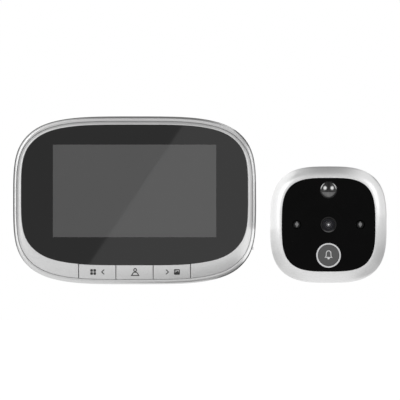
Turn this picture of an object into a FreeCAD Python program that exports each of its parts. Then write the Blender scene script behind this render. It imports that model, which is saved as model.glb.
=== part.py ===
# A digital door peephole: a screen unit for the inside of the door, and a camera and bell
# unit for the outside, laid out side by side with both fronts facing the same way.
# The screen unit hangs on a steel bracket, which a hollow nut clamps to the door. The nut
# runs through the door hole and takes the threaded stub of the outdoor unit.
# Millimetres. X is to the right, Z is up and the fronts face -Y. The door face is the plane
# Y = 0, and the origin is the centre of the bracket's bore on it. Sizes called depth are
# measured out from the door face, towards the person in front, so Y = -depth.

import FreeCAD, Part

import math
import os

# Display: the picture sets its panel, tray and window

PICTURE_W = 95.04
PICTURE_H = 53.86
PANEL_EDGE = 2.0
PANEL_THICK = 1.4
TRAY_SIDE = 3.23
TRAY_TOP = 2.47
TRAY_FOOT = 6.87
LCD_PLAY = 0.3
WINDOW_SIDE = 13.25
WINDOW_TOP = 7.1
WINDOW_FOOT = 7.3
LCD_W = PICTURE_W + 2 * (PANEL_EDGE + TRAY_SIDE)
LCD_H = PICTURE_H + 2 * PANEL_EDGE + TRAY_TOP + TRAY_FOOT
WINDOW_W = LCD_W + 2 * WINDOW_SIDE
WINDOW_H = LCD_H + WINDOW_TOP + WINDOW_FOOT

# Battery bay for four round cells, two rows of two

CELL_DIAMETER = 14.5
CELL_LONG = 50.5
CELL_NUB_RADIUS = 2.75
CELL_NUB_HIGH = 1.0
CELL_GAP = 0.3
CELL_ROW_GAP = 0.4
CONTACT_ROOM = 3.6
CONTACT_THICK = 0.5
CONTACT_TIP_GAP = 0.1
CONTACT_SET_IN = 4.3
CONTACT_DEEP = 9.2
CONTACT_HALF = 4.6
LEAF_WIDE = 6.0
LEAF_HALF = 4.2
LEAF_THICK = 0.55
BAY_WALL = 1.5
BAY_SIDE_ROOM = 16.65
BAY_FOOT_ROOM = 9.5
BAY_LONG = 2 * CELL_LONG + 2 * CONTACT_ROOM
BAY_HIGH = 2 * CELL_DIAMETER + CELL_ROW_GAP + 2 * CELL_GAP

# Outline of the screen unit, a rounded oblong whose sides bow a little. It is as wide as the
# window or the battery bay needs, whichever is more.

OUTLINE_POWER = 3.8
WINDOW_POWER = 3.9
OVAL_POINTS = 32
RIM_SIDE = 2.1
RIM_TOP = 2.9
FRAME_SIDE = 2.65
FRAME_TOP = 2.0
CHIN = 8.4
SCREEN_UNIT_W = max(WINDOW_W + 2 * (FRAME_SIDE + RIM_SIDE), BAY_LONG + 2 * BAY_SIDE_ROOM)
SCREEN_UNIT_H = WINDOW_H + FRAME_TOP + CHIN + 2 * RIM_TOP
WINDOW_RISE = (CHIN - FRAME_TOP) / 2
LCD_RISE = WINDOW_RISE + (WINDOW_FOOT - WINDOW_TOP) / 2
PICTURE_RISE = LCD_RISE + (TRAY_FOOT - TRAY_TOP) / 2
BAY_BOTTOM = BAY_FOOT_ROOM - SCREEN_UNIT_H / 2
BAY_TOP = BAY_BOTTOM + BAY_HIGH

# Layers of the screen unit, from the door outwards

BACK_GAP = 1.0
BACK_WALL = 1.8
BAY_FLOOR = 1.2
BOARD_GAP = 0.4
BOARD_THICK = 1.6
LCD_GAP = 0.4
LCD_THICK = 2.9
GASKET_THICK = 0.5
WINDOW_THICK = 1.8

BACK_AT = BACK_GAP
CELL_BACK_AT = BACK_AT + BACK_WALL + CELL_GAP
BAY_FLOOR_AT = CELL_BACK_AT + CELL_DIAMETER + CELL_GAP
BOARD_BACK_AT = BAY_FLOOR_AT + BAY_FLOOR + BOARD_GAP
BOARD_FRONT_AT = BOARD_BACK_AT + BOARD_THICK
LCD_BACK_AT = BOARD_FRONT_AT + LCD_GAP
LCD_FRONT_AT = LCD_BACK_AT + LCD_THICK
WINDOW_BACK_AT = LCD_FRONT_AT + GASKET_THICK
FRONT_AT = WINDOW_BACK_AT + WINDOW_THICK

# Front frame and the seam where it drops into the rear shell

CROWN_DROP = 1.9
CROWN_BULGE = 0.22
CROWN_LAND = 0.35
SKIRT_LONG = 4.6
SKIRT_THICK = 1.8
SEAM_GAP = 0.2
WINDOW_GAP = 0.1
WEB_THICK = 1.3
SEAM_W = SCREEN_UNIT_W - 2 * RIM_SIDE
SEAM_H = SCREEN_UNIT_H - 2 * RIM_TOP
SEAM_AT = FRONT_AT - CROWN_DROP
SKIRT_BACK_AT = SEAM_AT - SKIRT_LONG
WEB_BACK_AT = WINDOW_BACK_AT - WEB_THICK

# Rear shell: a rounded lip in front, and a pillow shape that draws in towards the back

RIM_ROUND = 1.7
RIM_ROUND_DEPTH = 2.4
BACK_DRAW_IN = 5.5
PILLOW_SWEEP = 0.92
LEDGE = 0.6
BELLY_AT = SEAM_AT - RIM_ROUND_DEPTH

# The three keys under the window, with the switches behind them

KEY_PITCH = 21.7
KEY_GAP = 0.5
KEY_TRAVEL = 0.35
KEY_FLOOR_GAP = 0.05
KEY_THIN = 1.5
KEY_FLOOR_THICK = 0.9
KEY_TONGUE = 1.5
KEY_TONGUE_GAP = 0.15
KEY_WINDOW_GAP = 0.2
KEY_BLOCK_EDGE = 2.0
SWITCH_BELOW_WINDOW = 1.7
SWITCH_SIDE = 5.2
SWITCH_HIGH = 1.4
SWITCH_WINDOW_GAP = 0.5
PLUNGER_RADIUS = 1.1
PLUNGER_HIGH = 0.5
PLUNGER_DEEP = 0.5
PLUNGER_PLAY = 0.1
STEM_RADIUS = 1.6
SWITCH_DROP = WINDOW_H / 2 - WINDOW_RISE + SWITCH_BELOW_WINDOW
KEY_BACK_AT = SEAM_AT - KEY_THIN
KEY_FLOOR_AT = KEY_BACK_AT - KEY_TRAVEL - KEY_FLOOR_GAP
PLUNGER_FRONT_AT = BOARD_FRONT_AT + SWITCH_HIGH + PLUNGER_HIGH

# Battery door, which swings on two tabs at its upper edge

DOOR_SEAT = 1.2
DOOR_TOP_SEAT = 2.2
DOOR_CORNER = 8.0
DOOR_GAP = 0.35
DOOR_DRAFT = 1.2
DOOR_SEAT_GAP = 0.25
DOOR_TAB_X = 34.0
DOOR_TAB_WIDE = 8.0
DOOR_TAB_THICK = 1.0
DOOR_TAB_REACH = 1.5
DOOR_TAB_ROOT = 0.6
DOOR_TAB_ROOM = 0.5
DOOR_TAB_SWING = 2.6
DOOR_NOTCH_WIDE = 16.0
DOOR_NOTCH_HIGH = 2.4
DOOR_NOTCH_DEEP = 0.8
DOOR_TOP = BAY_TOP + DOOR_TOP_SEAT
DOOR_BOTTOM = BAY_BOTTOM - DOOR_SEAT
DOOR_W = BAY_LONG + 2 * DOOR_SEAT

# Recess, hook slots and ribbon well in the back of the screen unit

BRACKET_W = 58.0
BRACKET_H = 32.0
BRACKET_THICK = 1.2
BRACKET_CORNER = 4.0
BRACKET_BORE = 7.25
BRACKET_HOLE_EDGE = 8.0
BRACKET_SCREW_HOLE = 2.2
HOOK_EDGE = 8.0
HOOK_Z = 7.0
HOOK_WIDE = 8.0
HOOK_THICK = 1.2
HOOK_LIP = 3.6
HOOK_WALL_GAP = 0.3
HOOK_REST_GAP = 0.1
HOOK_SIDE_GAP = 0.5
LIFT = 4.2
RECESS_GAP = 0.6
RECESS_FLOOR_AT = 4.0
RECESS_WALL = 1.5
RECESS_CORNER = 3.0
WELL_RADIUS = 13.5
WELL_FLOOR_AT = 12.0
WELL_WALL = 1.5
RIBBON_WINDOW_W = 17.0
RIBBON_WINDOW_H = 7.5
RECESS_STRIP = 2.4
BRACKET_SCREW_X = BRACKET_W / 2 - BRACKET_HOLE_EDGE
HOOK_X = BRACKET_W / 2 - HOOK_EDGE
HOOK_LIP_AT = RECESS_FLOOR_AT + RECESS_WALL + HOOK_WALL_GAP
BORE_ABOVE_CENTRE = DOOR_TOP + RECESS_STRIP + RECESS_GAP + LIFT + BRACKET_H / 2

# Hollow nut that runs through the door

NUT_RADIUS = 6.8
NUT_PILOT = 7.1
NUT_BORE = 5.95
NUT_LONG = 32.0
NUT_FLANGE = 10.0
NUT_FLANGE_THICK = 2.0
NUT_SLOT_WIDE = 2.4
NUT_SLOT_DEEP = 1.0
NUT_SLOTS = 4

# Ribbon socket, speaker, chips and the three ports in the side of the screen unit

RIBBON_SOCKET_W = 15.0
RIBBON_SOCKET_H = 5.5
RIBBON_SOCKET_HIGH = 5.0
RIBBON_SLOT_W = 12.0
RIBBON_SLOT_H = 1.2
RIBBON_SLOT_DEEP = 3.0

# Width, height, thickness and place from the bore of the board's larger parts
BOARD_CHIPS = (
    (14.0, 14.0, 1.2, -27.0, 8.0),
    (10.0, 8.0, 1.0, -27.0, -8.0),
    (18.0, 12.0, 2.4, 28.0, 14.0),
    (8.0, 8.0, 3.2, 30.0, -4.0),
    (6.0, 6.0, 2.8, 40.0, 4.0),
)

SPEAKER_RADIUS = 13.0
SPEAKER_RECESS_GAP = 0.55
SPEAKER_BELOW_BORE = 2.0
SPEAKER_RIM = 1.6
SPEAKER_RIM_HIGH = 1.6
SPEAKER_MAGNET = 7.5
SPEAKER_HIGH = 5.4
SPEAKER_CONE_THICK = 0.4
SPEAKER_DUST_CAP = 4.0
SPEAKER_COLLAR = 1.2
SPEAKER_PLAY = 0.15
SPEAKER_COLLAR_HIGH = 2.6
SPEAKER_Z = BORE_ABOVE_CENTRE - SPEAKER_BELOW_BORE
SPEAKER_X = -(BRACKET_W / 2 + RECESS_GAP + RECESS_WALL + SPEAKER_RECESS_GAP
              + SPEAKER_COLLAR + SPEAKER_PLAY + SPEAKER_RADIUS)
GRILLE_HOLE = 0.9
GRILLE_PITCH = 3.4
GRILLE_RINGS = 3

CARD_Z = BORE_ABOVE_CENTRE - 3.0
CARD_W = 11.0
CARD_LONG = 15.0
CARD_THICK = 0.8
CARD_PLAY = 0.15
CARD_SOCKET_W = 14.6
CARD_SOCKET_LONG = 14.2
CARD_SOCKET_HIGH = 1.9
CARD_SLOT_EDGE = 0.5
CARD_GRIP = 0.8
CARD_NOTCH = 1.2

USB_Z = CARD_Z - 26.0
USB_W = 7.5
USB_HIGH = 2.6
USB_LONG = 5.6
USB_WALL = 0.3
USB_TONGUE = 0.7
USB_PORT_GAP = 0.6
USB_CORNER = 0.8

POWER_Z = USB_Z - 14.0
POWER_BODY_H = 8.6
POWER_BODY_DEEP = 3.5
POWER_BODY_LONG = 3.7
POWER_BODY_WALL = 0.5
POWER_TRAVEL = 2.0
POWER_KNOB_SIDE = 1.6
POWER_KNOB_GAP = 0.25
POWER_KNOB_PROUD = 0.7
PORT_WALL_GAP = 0.3

# Main board and its fixings

BOARD_EDGE = 0.7
BOSS_RADIUS = 3.0
BOSS_HOLE_GAP = 0.4
BOSS_SPLIT_AT = 11.0
CASE_SCREW_SEAT_AT = 9.0
CASE_SCREW_EDGE = 11.75
CASE_SCREW_X = SCREEN_UNIT_W / 2 - CASE_SCREW_EDGE
CASE_SCREW_ROWS = (CARD_Z + 15.0, CARD_Z - 15.5)
BOARD_POST_RADIUS = 2.2
BOARD_SCREW_EDGE = 11.25
BOARD_SCREW_PORT_EDGE = 10.75
BOARD_SCREW_TOP = 8.7
BOARD_SCREW_SPOTS = (
    (BOARD_SCREW_EDGE - SCREEN_UNIT_W / 2, CARD_Z),
    (BOARD_SCREW_EDGE - SCREEN_UNIT_W / 2, CARD_Z - 34.5),
    (SCREEN_UNIT_W / 2 - BOARD_SCREW_PORT_EDGE, USB_Z - 6.6),
    (0.0, SCREEN_UNIT_H / 2 - BOARD_SCREW_TOP),
)
SCREW_SHANK = 1.1
SCREW_PLAY = 0.05
SCREW_HEAD = 2.2
SCREW_HEAD_HIGH = 1.4
SCREW_CROSS = 0.5
SCREW_CROSS_DEEP = 0.8
SCREW_WELL_GAP = 0.4
CASE_SCREW_LONG = 8.0
BOARD_SCREW_LONG = 3.6
SCREW_TIP_ROOM = 0.5

# Outdoor unit: outline, layers and housing

OUTDOOR_SIDE = 68.0
UNITS_APART = 8.35
OUTDOOR_X = SCREEN_UNIT_W / 2 + UNITS_APART + OUTDOOR_SIDE / 2
OUTDOOR_BELOW_CENTRE = 14.2
OUTDOOR_POWER = 3.1
FACE_SIDE = 54.7
FACE_POWER = 3.4
FOAM_THICK = 1.0
FOAM_EDGE = 2.6
FOAM_HOLE = 8.0
COVER_THICK = 2.2
COVER_GAP = 0.15
OUTDOOR_WALL = 2.0
SEAL_THICK = 0.8
SEAL_WIDE = 1.5
STUB_FLANGE = 10.0
STUB_FLANGE_THICK = 1.0
STUB_RADIUS = 5.9
STUB_NECK = 6.4
STUB_BORE = 4.2
STUB_LONG = 16.0
STUB_PLAY = 0.1
OUTDOOR_BOARD_GAP = 1.8
OUTDOOR_BOARD_THICK = 1.6
OUTDOOR_BOARD_EDGE = 1.0
OUTDOOR_SOCKET_HIGH = 1.5
FACE_BACK_AT = 13.2
FACE_THICK = 2.0
FACE_GAP = 0.1
FACE_LEDGE = 1.2
RING_SHOULDER_AT = 8.0
RING_PROUD = 0.4
RING_LAND = 0.3
RING_SWELL = ((0.0, 0.0), (0.12, 0.42), (0.45, 0.8), (1.0, 1.0))
OUTDOOR_BOSS = 2.6
OUTDOOR_BOSS_SPOT = 21.0
OUTDOOR_SCREW_LONG = 8.0

COVER_FRONT_AT = FOAM_THICK + COVER_THICK
SEAL_FRONT_AT = COVER_FRONT_AT + SEAL_THICK
OUTDOOR_BOARD_AT = COVER_FRONT_AT + STUB_FLANGE_THICK + OUTDOOR_BOARD_GAP
OUTDOOR_BOARD_FRONT_AT = OUTDOOR_BOARD_AT + OUTDOOR_BOARD_THICK
FACE_FRONT_AT = FACE_BACK_AT + FACE_THICK
RING_FRONT_AT = FACE_FRONT_AT + RING_PROUD
COVER_SIDE = OUTDOOR_SIDE - 2 * OUTDOOR_WALL

# What shows in the black face of the outdoor unit

PIR_Z = 20.3
PIR_RADIUS = 4.85
PIR_FLANGE = 0.6
PIR_FLANGE_THICK = 0.8
PIR_DOME_HIGH = 2.3
PIR_SHELL = 0.6
PIR_CAN = 3.9
PIR_CAN_HIGH = 4.2
PIR_CAN_RIM = 0.5
PIR_CAN_RIM_THICK = 0.4
PIR_SOCKET = 3.0
PIR_EYE_W = 4.0
PIR_EYE_H = 3.0
PIR_EYE_DEEP = 0.3
PIR_CAN_GAP = 0.4

CAMERA_HOLE = 4.55
CAMERA_RING_WALL = 0.65
CAMERA_RING_PROUD = 0.3
CAMERA_RING_DEEP = 1.6
LENS_BARREL = 3.5
LENS_STEP = 0.5
LENS_GLASS = 2.6
LENS_BULGE = 1.0
LENS_SET_BACK = 0.5
LENS_SEAT = 1.0
CAMERA_HOLDER_SIDE = 9.0
CAMERA_HOLDER_HIGH = 4.0
SENSOR_SIDE = 5.0
SENSOR_HIGH = 0.9
FACE_HOLE_GAP = 0.1

LED_X = 18.5
LED_RADIUS = 2.5
LED_LONG = 7.2
LED_FLANGE = 0.4
LED_FLANGE_THICK = 1.0
LED_FOOT = 0.2

BELL_Z = -17.9
BELL_RING_OUTER = 7.15
BELL_RING_INNER = 6.3
BELL_RING_PROUD = 0.5
BELL_RING_LIP = 0.6
BELL_RING_LIP_THICK = 0.7
BELL_CAP_GAP = 0.12
BELL_CAP_PROUD = 0.2
BELL_CAP_FLANGE_THICK = 1.0
BELL_CAP_FLANGE_GAP = 0.15
BELL_TRAVEL = 0.5
BELL_STEM = 2.0
BELL_SWITCH_SIDE = 6.0
BELL_SWITCH_HIGH = 2.0
BELL_PLUNGER_RADIUS = 1.6
BELL_PLUNGER_HIGH = 0.8

# How far a cutter runs past the face that it opens
PAST = 1.0

OUT = FreeCAD.Vector(0, -1, 0)
SCREEN_PLACE = FreeCAD.Vector(0, 0, -BORE_ABOVE_CENTRE)
OUTDOOR_PLACE = FreeCAD.Vector(OUTDOOR_X, 0, -BORE_ABOVE_CENTRE - OUTDOOR_BELOW_CENTRE)
DOOR_PLACE = FreeCAD.Vector(0, 0, 0)


# Simple shapes, placed by their depth in front of the door face

def at(x, depth, z):
    """A point, with depth measured out from the door face."""
    return FreeCAD.Vector(x, -depth, z)


def block(x_low, x_high, back, front, z_low, z_high):
    """A box between two depths."""
    return Part.makeBox(x_high - x_low, front - back, z_high - z_low, at(x_low, front, z_low))


def centred_block(width, height, back, front, x=0.0, z=0.0):
    """A box given by its width and height about (x, z)."""
    return block(x - width / 2, x + width / 2, back, front, z - height / 2, z + height / 2)


def rod(radius, back, front, x=0.0, z=0.0):
    """A round rod whose axis runs out of the door."""
    return Part.makeCylinder(radius, front - back, at(x, back, z), OUT)


def tube(outer, inner, back, front, x=0.0, z=0.0):
    """A rod with a bore right through it."""
    return rod(outer, back, front, x, z).cut(rod(inner, back - PAST, front + PAST, x, z))


def rounded_wire(width, height, corner, depth, x, z):
    """A rectangle with round corners, at one depth."""
    edges = []
    last = None
    for turn in range(4):
        quarter = turn * math.pi / 2
        side_x = 1 if turn in (0, 3) else -1
        side_z = 1 if turn in (0, 1) else -1
        middle_x = x + side_x * (width / 2 - corner)
        middle_z = z + side_z * (height / 2 - corner)
        arc = [at(middle_x + corner * math.cos(quarter + share * math.pi / 2), depth,
                  middle_z + corner * math.sin(quarter + share * math.pi / 2))
               for share in (0, 0.5, 1)]
        if last is not None:
            edges.append(Part.LineSegment(last, arc[0]).toShape())
        edges.append(Part.Arc(*arc).toShape())
        last = arc[2]
        if turn == 0:
            first = arc[0]
    edges.append(Part.LineSegment(last, first).toShape())
    return Part.Wire(edges)


def plate(width, height, corner, back, front, x=0.0, z=0.0, draft=0.0):
    """A slab with rounded corners, which a draft makes smaller towards the front."""
    wires = [rounded_wire(width - 2 * inset, height - 2 * inset, corner - inset, depth, x, z)
             for depth, inset in ((back, 0.0), (front, draft))]
    return Part.makeLoft(wires, True, True)


def oval_wire(width, height, power, depth, rise=0.0):
    """The superellipse that both units take their outline from."""
    points = []
    for step in range(OVAL_POINTS):
        angle = 2 * math.pi * step / OVAL_POINTS
        across, up = math.cos(angle), math.sin(angle)
        reach = (abs(across) ** power + abs(up) ** power) ** (-1 / power)
        points.append(at(width / 2 * reach * across, depth, rise + height / 2 * reach * up))
    curve = Part.BSplineCurve()
    curve.interpolate(Points=points, PeriodicFlag=True)
    return Part.Wire([curve.toShape()])


def oval_plate(width, height, power, back, front, rise=0.0):
    """A flat plate with a superellipse outline."""
    face = Part.Face(oval_wire(width, height, power, back, rise))
    return face.extrude(OUT * (front - back))


def oval_loft(sections, straight=False):
    """A solid through superellipses, each (width, height, power, depth, rise)."""
    return Part.makeLoft([oval_wire(*section) for section in sections], True, straight)


def half_width_at(width, height, power, z):
    """How far a superellipse reaches sideways at a height from its centre."""
    return width / 2 * (1 - (abs(z) / (height / 2)) ** power) ** (1 / power)


def joined(pieces):
    """Several overlapping solids fused into one."""
    return pieces[0].fuse(pieces[1:]).removeSplitter()


def screw(shank, long, head_front_at, x, z):
    """A cross-head screw driven from behind, with its head's flat side at the given depth."""
    head_back_at = head_front_at - SCREW_HEAD_HIGH
    body = rod(SCREW_HEAD, head_back_at, head_front_at, x, z)
    body = body.fuse(rod(shank, head_front_at, head_front_at + long, x, z))
    for width, height in ((SCREW_CROSS, 1.4 * SCREW_HEAD), (1.4 * SCREW_HEAD, SCREW_CROSS)):
        cross_front_at = head_back_at + SCREW_CROSS_DEEP
        body = body.cut(centred_block(width, height, head_back_at - PAST, cross_front_at, x, z))
    return body


# Screen unit: the rear shell's pillow shape

def pillow_inset(share):
    """How far the side has drawn in at a share of the way from the belly to the back."""
    full = 1 - math.sqrt(1 - PILLOW_SWEEP ** 2)
    return BACK_DRAW_IN * (1 - math.sqrt(1 - (PILLOW_SWEEP * share) ** 2)) / full


def pillow(width, height, back):
    """The shell's body behind its belly, or the same form taken in by a wall."""
    sections = []
    for share in (1.0, 0.85, 0.6, 0.3, 0.0):
        inset = 2 * pillow_inset(share)
        depth = BELLY_AT - share * (BELLY_AT - back)
        sections.append((width - inset, height - inset, OUTLINE_POWER, depth))
    return oval_loft(sections)


def screen_unit_solid():
    """The screen unit's rear shell as a full solid, from its back to its lip."""
    lip = []
    for turn in (0, 30, 60, 90):
        inset = 2 * RIM_ROUND * (1 - math.cos(math.radians(turn)))
        depth = BELLY_AT + RIM_ROUND_DEPTH * math.sin(math.radians(turn))
        lip.append((SCREEN_UNIT_W - inset, SCREEN_UNIT_H - inset, OUTLINE_POWER, depth))
    return pillow(SCREEN_UNIT_W, SCREEN_UNIT_H, BACK_AT).fuse(oval_loft(lip)).removeSplitter()


def side_x(z, depth):
    """Where the screen unit's outer side lies at a height and depth."""
    inset = 2 * pillow_inset((BELLY_AT - depth) / (BELLY_AT - BACK_AT))
    return half_width_at(SCREEN_UNIT_W - inset, SCREEN_UNIT_H - inset, OUTLINE_POWER, z)


def board_edge_x(z, half_height):
    """Where the board's edge lies beside a port, at the port's end nearer a corner."""
    inset = 2 * (SKIRT_THICK + BOARD_EDGE)
    return half_width_at(SEAM_W - inset, SEAM_H - inset, OUTLINE_POWER, abs(z) + half_height)


def card_mouth_x():
    """Where the memory card's socket opens."""
    return board_edge_x(CARD_Z, CARD_SOCKET_W / 2)


def usb_mouth_x():
    """Where the power port opens, a little past the board's edge."""
    return board_edge_x(USB_Z, USB_W / 2) + USB_LONG / 3


def power_mouth_x():
    """Where the power switch's body ends."""
    return board_edge_x(POWER_Z, POWER_BODY_H / 2)


def case_screw_spots():
    """The four screws that hold the rear shell to the front frame."""
    return [(side * CASE_SCREW_X, row) for row in CASE_SCREW_ROWS for side in (-1, 1)]


def hook_slot():
    """One slot in the recess floor, from above the lifted hook to the neck it hangs on."""
    neck_z = BORE_ABOVE_CENTRE + HOOK_Z
    slot_top = neck_z + HOOK_THICK + HOOK_REST_GAP
    slot_bottom = neck_z - LIFT - HOOK_REST_GAP
    half = HOOK_WIDE / 2 + HOOK_SIDE_GAP
    floor_front = RECESS_FLOOR_AT + RECESS_WALL + PAST
    return block(HOOK_X - half, HOOK_X + half, BACK_AT - PAST, floor_front, slot_bottom, slot_top)


def bracket_recess(grow, back, front):
    """The pocket for the bracket, long enough below it for the unit to be lifted."""
    top = BORE_ABOVE_CENTRE + BRACKET_H / 2 + RECESS_GAP
    bottom = BORE_ABOVE_CENTRE - BRACKET_H / 2 - LIFT - RECESS_GAP
    width = BRACKET_W + 2 * (RECESS_GAP + grow)
    height = top - bottom + 2 * grow
    return plate(width, height, RECESS_CORNER + grow, back, front, 0, (top + bottom) / 2)


def battery_bay(grow, back, front):
    """The bay's pocket, or with grow its outer walls."""
    half = BAY_LONG / 2 + grow
    return block(-half, half, back, front, BAY_BOTTOM - grow, BAY_TOP + grow)


def door_outline(grow, draft):
    """The battery door's outline as a prism through the back."""
    width = DOOR_W + 2 * grow
    height = DOOR_TOP - DOOR_BOTTOM + 2 * grow
    middle = (DOOR_TOP + DOOR_BOTTOM) / 2
    corner = DOOR_CORNER + grow
    return plate(width, height, corner, BACK_AT - PAST, BAY_FLOOR_AT, 0, middle, draft)


def back_skin(solid, thick):
    """The outermost layer of the pillow, which the battery door is cut from."""
    return solid.cut(pillow(SCREEN_UNIT_W - 2 * thick, SCREEN_UNIT_H - 2 * thick, BACK_AT + thick))


def grille_spots():
    """Sound holes on hexagonal rings about the speaker's axis."""
    spots = [(SPEAKER_X, SPEAKER_Z)]
    for ring in range(1, GRILLE_RINGS + 1):
        for hole in range(6 * ring):
            angle = 2 * math.pi * hole / (6 * ring)
            across = ring * GRILLE_PITCH * math.cos(angle)
            spots.append((SPEAKER_X + across, SPEAKER_Z + ring * GRILLE_PITCH * math.sin(angle)))
    return spots


def card_middle_at():
    """Depth of the middle of the memory card."""
    return BOARD_BACK_AT - CARD_SOCKET_HIGH / 2


def usb_middle_at():
    """Depth of the middle of the power port."""
    return BOARD_BACK_AT - USB_HIGH / 2


def power_middle_at():
    """Depth of the middle of the power switch."""
    return BOARD_BACK_AT - POWER_BODY_DEEP / 2


def side_ports():
    """Openings in the shell's right side for the card, the power port and the switch."""
    outer = SCREEN_UNIT_W / 2 + PAST
    card_half = CARD_THICK / 2 + PORT_WALL_GAP
    card_reach = CARD_W / 2 + PORT_WALL_GAP
    card = block(card_mouth_x(), outer, card_middle_at() - card_half, card_middle_at() + card_half,
                 CARD_Z - card_reach, CARD_Z + card_reach)
    usb_half = USB_HIGH / 2 + USB_PORT_GAP
    usb_reach = USB_W / 2 + USB_PORT_GAP
    usb = block(usb_mouth_x() - USB_LONG, outer, usb_middle_at() - usb_half,
                usb_middle_at() + usb_half, USB_Z - usb_reach, USB_Z + usb_reach)
    knob_half = POWER_KNOB_SIDE / 2 + POWER_KNOB_GAP
    knob_reach = (POWER_KNOB_SIDE + POWER_TRAVEL) / 2 + POWER_KNOB_GAP
    power = block(power_mouth_x(), outer, power_middle_at() - knob_half,
                  power_middle_at() + knob_half, POWER_Z - knob_reach, POWER_Z + knob_reach)
    return [card, usb, power]


def rear_shell():
    """The rear housing, with the bracket recess, ribbon well and battery bay moulded in."""
    solid = screen_unit_solid()
    room = pillow(SEAM_W - 2 * LEDGE, SEAM_H - 2 * LEDGE, BACK_AT + BACK_WALL)
    room = room.common(centred_block(SCREEN_UNIT_W, SCREEN_UNIT_H, BACK_AT, SKIRT_BACK_AT))
    mouth = oval_plate(SEAM_W + 2 * SEAM_GAP, SEAM_H + 2 * SEAM_GAP, OUTLINE_POWER,
                       SKIRT_BACK_AT, SEAM_AT + PAST)
    shell = solid.cut(room).cut(mouth)

    well_z = BORE_ABOVE_CENTRE
    inner_forms = [
        bracket_recess(RECESS_WALL, BACK_AT, RECESS_FLOOR_AT + RECESS_WALL),
        rod(WELL_RADIUS + WELL_WALL, BACK_AT, WELL_FLOOR_AT + WELL_WALL, 0, well_z),
        battery_bay(BAY_WALL, BACK_AT, BAY_FLOOR_AT + BAY_FLOOR),
        tube(SPEAKER_RADIUS + SPEAKER_PLAY + SPEAKER_COLLAR, SPEAKER_RADIUS + SPEAKER_PLAY,
             BACK_AT + BACK_WALL / 2, BACK_AT + BACK_WALL + SPEAKER_COLLAR_HIGH,
             SPEAKER_X, SPEAKER_Z),
    ]
    for x, z in case_screw_spots():
        inner_forms.append(rod(BOSS_RADIUS, BACK_AT, BOSS_SPLIT_AT, x, z))
    shell = shell.fuse([form.common(solid) for form in inner_forms])

    slot = hook_slot()
    cutters = [
        bracket_recess(0, BACK_AT - PAST, RECESS_FLOOR_AT),
        rod(WELL_RADIUS, BACK_AT - PAST, WELL_FLOOR_AT, 0, well_z),
        centred_block(RIBBON_WINDOW_W, RIBBON_WINDOW_H, WELL_FLOOR_AT - PAST,
                      WELL_FLOOR_AT + WELL_WALL + PAST, 0, well_z),
        slot,
        slot.mirror(FreeCAD.Vector(0, 0, 0), FreeCAD.Vector(1, 0, 0)),
        battery_bay(0, BACK_AT, BAY_FLOOR_AT).common(
            pillow(SCREEN_UNIT_W - 2 * BACK_WALL, SCREEN_UNIT_H - 2 * BACK_WALL,
                   BACK_AT + BACK_WALL / 2)),
        back_skin(solid, BACK_WALL + DOOR_SEAT_GAP).common(door_outline(DOOR_GAP, 0)),
    ]
    for side in (-1, 1):
        room_half = DOOR_TAB_WIDE / 2 + DOOR_TAB_ROOM
        cutters.append(block(side * DOOR_TAB_X - room_half, side * DOOR_TAB_X + room_half,
                             BACK_AT + BACK_WALL, BACK_AT + BACK_WALL + DOOR_TAB_SWING,
                             BAY_TOP - PAST, DOOR_TOP + DOOR_TAB_REACH + DOOR_TAB_ROOM))
    for x, z in case_screw_spots():
        cutters.append(rod(SCREW_HEAD + SCREW_WELL_GAP, BACK_AT - PAST, CASE_SCREW_SEAT_AT, x, z))
        cutters.append(rod(SCREW_SHANK + SCREW_WELL_GAP, BACK_AT, BOSS_SPLIT_AT + PAST, x, z))
    for x, z in grille_spots():
        cutters.append(rod(GRILLE_HOLE, BACK_AT - PAST, BACK_AT + BACK_WALL + PAST / 2, x, z))
    return shell.cut(cutters + side_ports())


def battery_door():
    """The bay's cover, cut from the shell's own skin, with two tabs that it swings on."""
    door = back_skin(screen_unit_solid(), BACK_WALL).common(door_outline(0, DOOR_DRAFT))
    inner = BACK_AT + BACK_WALL
    for side in (-1, 1):
        low, high = side * DOOR_TAB_X - DOOR_TAB_WIDE / 2, side * DOOR_TAB_X + DOOR_TAB_WIDE / 2
        foot = block(low, high, inner - BACK_WALL / 2, inner + DOOR_SEAT_GAP,
                     DOOR_TOP - DOOR_TAB_ROOT, DOOR_TOP)
        tab = block(low, high, inner + DOOR_SEAT_GAP, inner + DOOR_SEAT_GAP + DOOR_TAB_THICK,
                    DOOR_TOP - DOOR_TAB_ROOT, DOOR_TOP + DOOR_TAB_REACH)
        door = door.fuse([foot, tab])
    notch = centred_block(DOOR_NOTCH_WIDE, DOOR_NOTCH_HIGH, BACK_AT - PAST,
                          BACK_AT + DOOR_NOTCH_DEEP, 0, DOOR_BOTTOM + DOOR_NOTCH_HIGH)
    return door.cut(notch).removeSplitter()


# Screen unit: front frame, window and keys

def frame_envelope():
    """The frame's outside: a straight skirt under a crown that slopes up to the window."""
    skirt = oval_plate(SEAM_W, SEAM_H, OUTLINE_POWER, SKIRT_BACK_AT, SEAM_AT)
    top_w = WINDOW_W + 2 * CROWN_LAND
    top_h = WINDOW_H + 2 * CROWN_LAND
    middle_w, middle_h = (SEAM_W + top_w) / 2, (SEAM_H + top_h) / 2
    middle_at = SEAM_AT + CROWN_DROP * (0.5 + CROWN_BULGE)
    middle_power = (OUTLINE_POWER + WINDOW_POWER) / 2
    crown = oval_loft([
        (SEAM_W, SEAM_H, OUTLINE_POWER, SEAM_AT, 0.0),
        (middle_w, middle_h, middle_power, middle_at, WINDOW_RISE / 2),
        (top_w, top_h, WINDOW_POWER, FRONT_AT, WINDOW_RISE),
    ])
    return skirt.fuse(crown)


def window_pocket(gap, back):
    """The window's outline with a gap round it, from a depth to past the front."""
    return oval_plate(WINDOW_W + 2 * gap, WINDOW_H + 2 * gap, WINDOW_POWER, back,
                      FRONT_AT + PAST, WINDOW_RISE)


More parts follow.
